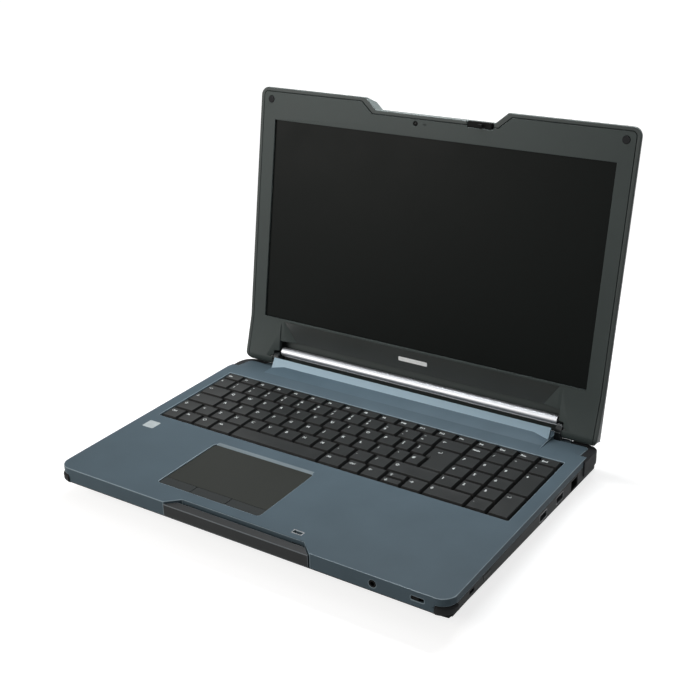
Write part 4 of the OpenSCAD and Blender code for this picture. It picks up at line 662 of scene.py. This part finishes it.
# The caps' sides are darker than their tops: painted shade for the gaps between keys.
finish("key_side_painted_shade", (15, 16, 16), 0.55, grain_mm=0.3, grain_depth=0.012, gloss=0.15)
KEY_SIZES = {"Finish": FIN["key_plastic"], "Side shade finish": FIN["key_side_painted_shade"], "Height": CAP_HEIGHT,
             "Side slope": 1.5 * MM, "Front slope": 1.5 * MM, "Rear slope": 0.9 * MM, "Rim": 0.9 * MM,
             "Dish": DISH}
for node, boxes in KEY_ROWS.items():
    name = "caps_" + node
    mesh = baked(name + "_tmp", outline_mesh(name, boxes, CAP_TOP - CAP_HEIGHT), KEY_TREE, KEY_SIZES)
    mesh.name = name
    for poly in mesh.polygons:
        poly.use_smooth = True
    caps = in_scene(name, mesh)
    soft = caps.modifiers.new("round", "BEVEL")
    soft.width, soft.segments, soft.harden_normals = CAP_ROUND, CAP_STEPS, True
    soft.limit_method, soft.angle_limit = "ANGLE", CAP_SHARP
    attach(caps, nodes[node]["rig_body"])
    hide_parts(node)
    print(name, len(mesh.polygons), "faces")

# %% [markdown]
# ## Printed legends
# The letters on notebook keys are laser marked or pad printed in a light grey, small and in the key's upper
# left corner. Here they are text turned into very thin meshes, because the finish may not read an image.
# `stamp` puts one text into the mesh that a whole row shares.

# %% Legend stamp
PRINT_THICK, PRINT_BOLD, PRINT_STEPS = 0.015 * MM, 0.10 * MM, 2
finish("legend_print", (190, 194, 194), 0.6, gloss=0.2, mottle=0.03, grain_mm=0.2, grain_depth=0.002)


def text_outline(words, size_mm):
    curve = bpy.data.curves.new("legend", "FONT")
    curve.body, curve.size = words, size_mm * MM
    curve.resolution_u = PRINT_STEPS
    curve.extrude, curve.offset = PRINT_THICK, PRINT_BOLD
    obj = in_scene("legend", curve)
    bpy.context.view_layer.update()
    mesh = bpy.data.meshes.new_from_object(obj.evaluated_get(bpy.context.evaluated_depsgraph_get()))
    bpy.data.objects.remove(obj)
    bpy.data.curves.remove(curve)
    return mesh


def stamp(bm, words, x, y, z, size_mm):
    mesh = text_outline(words, size_mm)
    mesh.transform(Matrix.Translation((x, y, z)))
    bm.from_mesh(mesh)
    bpy.data.meshes.remove(mesh)


print("stamp is ready")

# %% [markdown]
# ## What the keys say
# Only plain letters, digits, signs and arrows are used, in the order in which `islands` sorts the keys: from
# left to right, and from the rear to the front where keys stand in a column. A digit key carries its shifted
# sign above the digit. Words are set smaller than single letters, or they would run off the cap. `lines_on`
# gives each text on a cap, how far its foot lies below the top margin, and its size, in millimetres.

# %% Legend text
LEGENDS = {
    "function_row_keys": ["Esc"] + ["F%d" % i for i in range(1, 13)] + ["Prt", "Ins", "Del", "Pos", "End"],
    "number_row_keys": list("^1234567890-=") + ["\u2190"],
    "upper_row_keys": ["\u21e5"] + list("QWERTYUIOP[]"),
    "home_row_keys": ["\u21e9"] + list("ASDFGHJKL;'#"),
    "lower_row_keys": ["\u21e7"] + list("<ZXCVBNM,./") + ["\u21e7"],
    "bottom_row_keys": ["Ctrl", "Fn", "\u25c7", "Alt", "Alt", "Ctrl", "\u2190", "\u2191", "\u2193", "\u2192"],
    "number_pad_keys": ["Num"] + list("7410/852*963.-+") + ["\u21b5"],
}
SHIFTED = dict(zip("1234567890-=", "!\"\u00a7$%&/()_+*"))
WORD_MM, LETTER_MM = 3.3, 4.4
FUNCTION_LINE, SIGN_LINE, DIGIT_LINE = (4.6, 3.4), (3.8, 3.8), (9.6, 4.0)
DEEP_CAP_DROP, CAP_DROP = 0.6, -0.9


def lines_on(node, word, deep):
    if node == "function_row_keys":
        return [(word, *FUNCTION_LINE)]
    if node == "number_row_keys" and word in SHIFTED:
        return [(SHIFTED[word], *SIGN_LINE), (word, *DIGIT_LINE)]
    size = WORD_MM if len(word) > 1 else LETTER_MM
    return [(word, size + (DEEP_CAP_DROP if deep else CAP_DROP), size)]


print(sum(len(words) for words in LEGENDS.values()), "caps carry a legend")

# %% [markdown]
# ## Printing the keys
# Every row gets one mesh of legends, which rides on the row's own body, so the letters go down with the
# keys. The print lies on the floor of the dish, raised by a hundredth of a millimetre: two faces in the same
# place would flicker. The tall enter key isn't a grown cap, so its arrow is placed by itself.

# %% Print the keys
PRINT_LEFT, PRINT_TOP, DEEP_CAP = 3.0 * MM, 2.4 * MM, 14 * MM
PRINT_LIFT = 0.01 * MM
ENTER_LEFT, ENTER_TOP, ENTER_MM = 7.4 * MM, 8.4 * MM, 4.6
for node, words in LEGENDS.items():
    bm = bmesh.new()
    for (low, high), word in zip(KEY_ROWS[node], words):
        for text, drop, size in lines_on(node, word, high.y - low.y > DEEP_CAP):
            foot = high.y - PRINT_TOP - drop * MM
            stamp(bm, text, low.x + PRINT_LEFT, foot, CAP_TOP - DISH + PRINT_LIFT, size)
    obj = add_piece("legends_" + node, bm, nodes[node]["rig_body"], FIN["legend_print"])
    print(obj.name, len(obj.data.polygons), "faces")

low, high = islands("enter_key")[0]
bm = bmesh.new()
stamp(bm, "\u21b5", low.x + ENTER_LEFT, high.y - ENTER_TOP, high.z + PRINT_LIFT, ENTER_MM)
add_piece("legend_enter_key", bm, nodes["enter_key"]["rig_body"], FIN["legend_print"])

# %% [markdown]
# ## Rounded outlines
# A label, a name plate and the steel frame of a slot are all thin sheets with rounded corners, cut or pressed
# from stock. `rounded_corners` walks round such an outline, one quarter circle after another, and `bridge`
# stretches a band of faces between two outlines that have as many corners.

# %% Rounded outline
CORNER_STEPS = 5


def rounded_corners(low, high, radius):
    corners = ((high[0], high[1], 0), (low[0], high[1], 90), (low[0], low[1], 180), (high[0], low[1], 270))
    points = []
    for cx, cy, start in corners:
        mx = cx - radius if cx == high[0] else cx + radius
        my = cy - radius if cy == high[1] else cy + radius
        for i in range(CORNER_STEPS + 1):
            a = math.radians(start + 90 * i / CORNER_STEPS)
            points.append((mx + radius * math.cos(a), my + radius * math.sin(a)))
    return points


def bridge(bm, first, second):
    for i in range(len(first)):
        j = (i + 1) % len(first)
        bm.faces.new((first[i], first[j], second[j], second[i]))


print("an outline has", len(rounded_corners((0, 0), (10, 10), 1)), "corners")

# %% [markdown]
# ## How a small flat plate is made
# The plate is a stack of outlines: one below, one most of the way up, and one on top that is drawn in a
# little, as a punch leaves it. Where an opening is wanted, two more outlines line it. `place` says how the
# sheet's own directions lie on the computer, so a sheet can be drawn flat and still end up on a leaning face.

# %% Sheet plate
STRAIGHT_SHARE, RIM_SHARE = 0.6, 0.4


def sheet_plate(name, body, mat, place, low, high, radius, thick, hole=None):
    bm = bmesh.new()
    rings = []
    rim = min(thick * RIM_SHARE, radius / 2)
    for level, inset in ((0, 0), (thick * STRAIGHT_SHARE, 0), (thick, rim)):
        near, far = (low[0] + inset, low[1] + inset), (high[0] - inset, high[1] - inset)
        corners = rounded_corners(near, far, radius - inset)
        rings.append([bm.verts.new(place(u, v, level)) for u, v in corners])
    if hole:
        for level in (thick, 0):
            rings.append([bm.verts.new(place(u, v, level)) for u, v in rounded_corners(*hole)])
    for lower, upper in zip(rings, rings[1:]):
        bridge(bm, lower, upper)
    if hole:
        bridge(bm, rings[-1], rings[0])
    else:
        bm.faces.new(rings[-1])
        bm.faces.new(list(reversed(rings[0])))
    bmesh.ops.recalc_face_normals(bm, faces=bm.faces)
    piece = add_piece(name, bm, body, mat)


print("sheet_plate is ready")

# %% [markdown]
# ## Label, name plate and slot frame
# A pale care label sticks beside the keys, a small plate sits in the glossy recess under the screen, and a
# pressed steel frame lines the slot that the lid's hook drops into. The label and the plate are left blank.
# The glossy panel leans against the lid, so `on_gloss` turns a place on it by that lean.

# %% Lay the plates
finish("label_paper", (162, 170, 172), 0.55, mottle=0.1, mottle_mm=5, grain_mm=0.4, grain_depth=0.01)
finish("plate_silver", (246, 250, 249), 0.4, 0.0, mottle=0.08, mottle_mm=6, grain_mm=0.2, grain_depth=0.004)
DECK_TOP = 30
GLOSS_BACK, GLOSS_UP, GLOSS_LEAN = 0.1, 29.2, math.atan2(4.2, 20.5)


def on_deck(u, v, up):
    return at(u, v, DECK_TOP + up)


def on_gloss(u, v, up):
    back = GLOSS_BACK - v * math.sin(GLOSS_LEAN) - up * math.cos(GLOSS_LEAN)
    return on_lid(u, back, GLOSS_UP + v * math.cos(GLOSS_LEAN) - up * math.sin(GLOSS_LEAN))


base = nodes["top_case"]["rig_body"]
lid = nodes["lid_cover"]["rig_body"]
sheet_plate("care_label", base, FIN["label_paper"], on_deck,
            low=(-178, 92.5), high=(-165.5, 104.5), radius=1.2, thick=0.08)
sheet_plate("name_plate", lid, FIN["plate_silver"], on_gloss,
            low=(-15.5, -2.1), high=(15.5, 2.1), radius=0.9, thick=0.3)
sheet_plate("slot_frame", base, FIN["steel"], on_deck,
            low=(43.3, 16.7), high=(53.4, 21.9), radius=0.9, thick=0.12,
            hole=((44.2, 17.6), (52.5, 21.0), 0.3))
print("three small plates laid")

# %% [markdown]
# ## Turned parts
# A ring or a dome is made on a lathe, so `turned` spins a profile of radius and height about an axis. A
# Screw modifier could do it too, but here one mesh takes two profiles with a finish each. Where the radius
# is nothing the profile ends in one corner, which shuts the part at its pole.

# %% Turn a profile
TURN_STEPS = 28


def turned(bm, profile, place, index):
    rings = []
    turns = [2 * math.pi * i / TURN_STEPS for i in range(TURN_STEPS)]
    for radius, height in profile:
        spun = [(radius * math.cos(a), radius * math.sin(a)) for a in turns] if radius else [(0, 0)]
        rings.append([bm.verts.new(place(u, v, height)) for u, v in spun])
    for a, b in zip(rings, rings[1:]):
        for i in range(TURN_STEPS):
            j = (i + 1) % TURN_STEPS
            loop = [a[i % len(a)], a[j % len(a)], b[j % len(b)], b[i % len(b)]]
            face = bm.faces.new(list(dict.fromkeys(loop)))
            face.smooth, face.material_index = True, index


print("turned is ready, with", TURN_STEPS, "steps a turn")

# %% [markdown]
# ## The camera's lens
# A notebook's camera is a pinhole lens behind a small glass dome in a black ring, with a tiny status window
# beside it. The window is one more small plate.

# %% Camera lens
CAMERA_X, CAMERA_UP, LENS_SEAT, WINDOW_SEAT = -17.9, 248, -1.35, -1.5
LENS_WELD = 0.001 * MM
RING = ((0, -0.3), (2.15, -0.3), (2.15, 0.3), (2.05, 0.42), (1.7, 0.45), (1.5, 0.2), (1.45, 0.12))
DOME = ((1.45, 0.12), (1.2, 0.24), (0.7, 0.34), (0, 0.38))
finish("lens_glass", (5, 6, 7), 0.2, grain_mm=1.0, grain_depth=0.001, gloss=0.08)
finish("status_window", (58, 64, 63), 0.35, gloss=0.1, grain_mm=0.5, grain_depth=0.003)


def at_camera(u, v, up):
    return on_lid(CAMERA_X + u, LENS_SEAT - up, CAMERA_UP + v)


def at_window(u, v, up):
    return on_lid(CAMERA_X + u, WINDOW_SEAT - up, CAMERA_UP + v)


bm = bmesh.new()
turned(bm, RING, at_camera, 0)
turned(bm, DOME, at_camera, 1)
bmesh.ops.remove_doubles(bm, verts=bm.verts, dist=LENS_WELD)
bmesh.ops.recalc_face_normals(bm, faces=bm.faces)
add_piece("camera_lens", bm, lid, FIN["socket_black"], FIN["lens_glass"])
sheet_plate("camera_status_window", lid, FIN["status_window"], at_window,
            low=(8.1, -0.4), high=(10.9, 0.4), radius=0.2, thick=0.3)
print("camera lens", 2 * max(radius for radius, height in RING), "mm across")

# %% [markdown]
# ## Screws
# The two case halves and the service cover are held by small machine screws with cross recesses. They are
# all alike, so Geometry Nodes grow one screw and set it on every place: a low head, a cross pressed into it
# with a Mesh Boolean, and a shank. The Boolean runs once, before the screw is copied. Modelling each screw by
# hand would give the same look, but then moving one would mean moving its cross and its shank as well.

# %% Screw tree
HEAD_SIDES, SHANK_SIDES = 24, 16


def screw_tree():
    sizes = ("Head radius", "Head height", "Cross length", "Cross width", "Cross depth", "Shank radius",
             "Length")
    tree, given = new_tree("screws", [("Places", "Geometry"), *((size, "Float") for size in sizes),
                                      ("Finish", "Material")], "Screws")

    def rod(radius, length, sides):
        sockets = {"Vertices": sides, "Radius": radius, "Depth": length}
        bar = add_node(tree, "GeometryNodeMeshCylinder", sockets).outputs["Mesh"]
        up = add_node(tree, "ShaderNodeCombineXYZ", {"Z": maths(tree, "MULTIPLY", length, 0.5)}).outputs[0]
        return add_node(tree, "GeometryNodeTransform", {"Geometry": bar, "Translation": up}).outputs[0]

    head = rod(given["Head radius"], given["Head height"], HEAD_SIDES)
    for long_way, short_way in (("X", "Y"), ("Y", "X")):
        size = add_node(tree, "ShaderNodeCombineXYZ", {
            long_way: given["Cross length"], short_way: given["Cross width"], "Z": given["Cross depth"]})
        bar = add_node(tree, "GeometryNodeMeshCube", {"Size": size.outputs[0]})
        cut = add_node(tree, "GeometryNodeMeshBoolean", {"Mesh 1": head, "Mesh 2": bar.outputs["Mesh"]})
        head = cut.outputs["Mesh"]
    shank = rod(given["Shank radius"], given["Length"], SHANK_SIDES)
    screw = add_node(tree, "GeometryNodeJoinGeometry", {0: [head, shank]}).outputs[0]
    stretch = add_node(tree, "GeometryNodeInputNamedAttribute", {"Name": "stretch"}, data_type="FLOAT_VECTOR")
    copies = add_node(tree, "GeometryNodeInstanceOnPoints", {
        "Points": given["Places"], "Instance": screw, "Scale": stretch.outputs["Attribute"]})
    end_tree(tree, copies.outputs[0], (given["Finish"], None))
    return tree


SCREW_TREE = screw_tree()
print("screw tree has", len(SCREW_TREE.nodes), "nodes")

# %% [markdown]
# ## Setting the screws
# The places are read from the construction screws: the middle of each one's foot. Each place also carries a
# `stretch` value, its size against the largest screw, because the cover's screws are thinner and shorter.
# One tree with a stretch is simpler than two kinds of screw, and the crosses shrink with their heads.

# %% Set the screws
boxes = islands("case_screws")
wide = max(high.x - low.x for low, high in boxes)
tall = max(high.z - low.z for low, high in boxes)
places = bpy.data.meshes.new("screw_places")
places.from_pydata([((low.x + high.x) / 2, (low.y + high.y) / 2, low.z) for low, high in boxes], [], [])
sizes = places.attributes.new("stretch", "FLOAT_VECTOR", "POINT")
for i, (low, high) in enumerate(boxes):
    sizes.data[i].vector = ((high.x - low.x) / wide, (high.x - low.x) / wide, (high.z - low.z) / tall)
SCREW_SIZES = {"Head radius": wide / 2, "Head height": 0.98 * MM, "Cross length": 3.2 * MM,
               "Cross width": 0.7 * MM, "Cross depth": 1.1 * MM, "Shank radius": 1.2 * MM, "Length": tall,
               "Finish": finish_of["case_screws"]}
screws = in_scene("cross_screws", baked("screws_tmp", places, SCREW_TREE, SCREW_SIZES))
screws.data.name = "cross_screws"
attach(screws, nodes["case_screws"]["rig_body"])
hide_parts("case_screws")
print(len(boxes), "screws,", len(screws.data.polygons), "faces,", [m.name for m in screws.data.materials])

# %% [markdown]
# ## Socket tongues
# A flat serial-bus socket isn't an empty box: a plastic tongue hangs in its upper half and carries four gilt
# contacts on its underside. Both sockets are alike, so Geometry Nodes grow one tongue, with a Mesh Line that
# spaces the contacts, and set it in each mouth. The contacts are marked with a named attribute before they
# are joined, so that the last Set Material can find them again. A painted stripe would be cheaper, but it
# would look flat as soon as light falls into the mouth.

# %% Tongue tree
def tongue_tree():
    tree, given = new_tree("socket_tongues", [
        ("Mouths", "Geometry"), ("Tongue", "Vector"), ("Contact", "Vector"), ("First contact", "Vector"),
        ("Pitch", "Vector"), ("Count", "Int"), ("Tongue finish", "Material"), ("Contact finish", "Material"),
    ], "Tongues")
    slab = add_node(tree, "GeometryNodeMeshCube", {"Size": given["Tongue"]}).outputs["Mesh"]
    strip = add_node(tree, "GeometryNodeMeshCube", {"Size": given["Contact"]}).outputs["Mesh"]
    gilt_mark = {"Geometry": strip, "Name": "gilt", "Value": True}
    marked = add_node(tree, "GeometryNodeStoreNamedAttribute", gilt_mark, data_type="BOOLEAN", domain="FACE")
    row = add_node(tree, "GeometryNodeMeshLine", {
        "Count": given["Count"], "Start Location": given["First contact"], "Offset": given["Pitch"]})
    strips = add_node(tree, "GeometryNodeInstanceOnPoints", {
        "Points": row.outputs["Mesh"], "Instance": marked.outputs[0]})
    tongue = add_node(tree, "GeometryNodeJoinGeometry", {0: [slab, strips.outputs[0]]}).outputs[0]
    copies = add_node(tree, "GeometryNodeInstanceOnPoints", {"Points": given["Mouths"], "Instance": tongue})
    found = add_node(tree, "GeometryNodeInputNamedAttribute", {"Name": "gilt"}, data_type="BOOLEAN")
    end_tree(tree, copies.outputs[0], (given["Tongue finish"], None),
             (given["Contact finish"], found.outputs["Attribute"]))
    return tree


TONGUE_TREE = tongue_tree()
print("tongue tree has", len(TONGUE_TREE.nodes), "nodes")

# %% [markdown]
# ## Setting the tongues
# A tongue hangs a little below the socket's steel roof and stops short of its mouth, so that the plug's
# shell can slide round it. Both places are worked out from the construction sockets, which gives every
# socket its tongue even if one is moved later.

# %% Set the tongues
SHELL, ROOF_GAP, SETBACK = 0.8 * MM, 0.7 * MM, 1.5 * MM
TONGUE, CONTACT = (9.0 * MM, 11.0 * MM, 1.6 * MM), (7.0 * MM, 1.1 * MM, 0.16 * MM)
finish("gilt", (196, 160, 92), 0.35, 1.0, grain_mm=0.3, grain_depth=0.004)
mouths = bpy.data.meshes.new("mouths")
mouths.from_pydata([
    (high.x - TONGUE[0] / 2 - SETBACK, (low.y + high.y) / 2, high.z - SHELL - ROOF_GAP - TONGUE[2] / 2)
    for low, high in islands("side_sockets")], [], [])
TONGUE_SIZES = {"Tongue": TONGUE, "Contact": CONTACT, "First contact": (0, -3.6 * MM, -TONGUE[2] / 2),
                "Pitch": (0, 2.4 * MM, 0), "Count": 4, "Tongue finish": FIN["socket_black"],
                "Contact finish": FIN["gilt"]}
tongues = in_scene("socket_tongues", baked("tongues_tmp", mouths, TONGUE_TREE, TONGUE_SIZES))
tongues.data.name = "socket_tongues"
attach(tongues, nodes["side_sockets"]["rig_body"])
gilt_faces = sum(tongues.data.materials[p.material_index] == FIN["gilt"] for p in tongues.data.polygons)
print("tongues:", len(tongues.data.polygons), "faces, of which gilt:", gilt_faces)
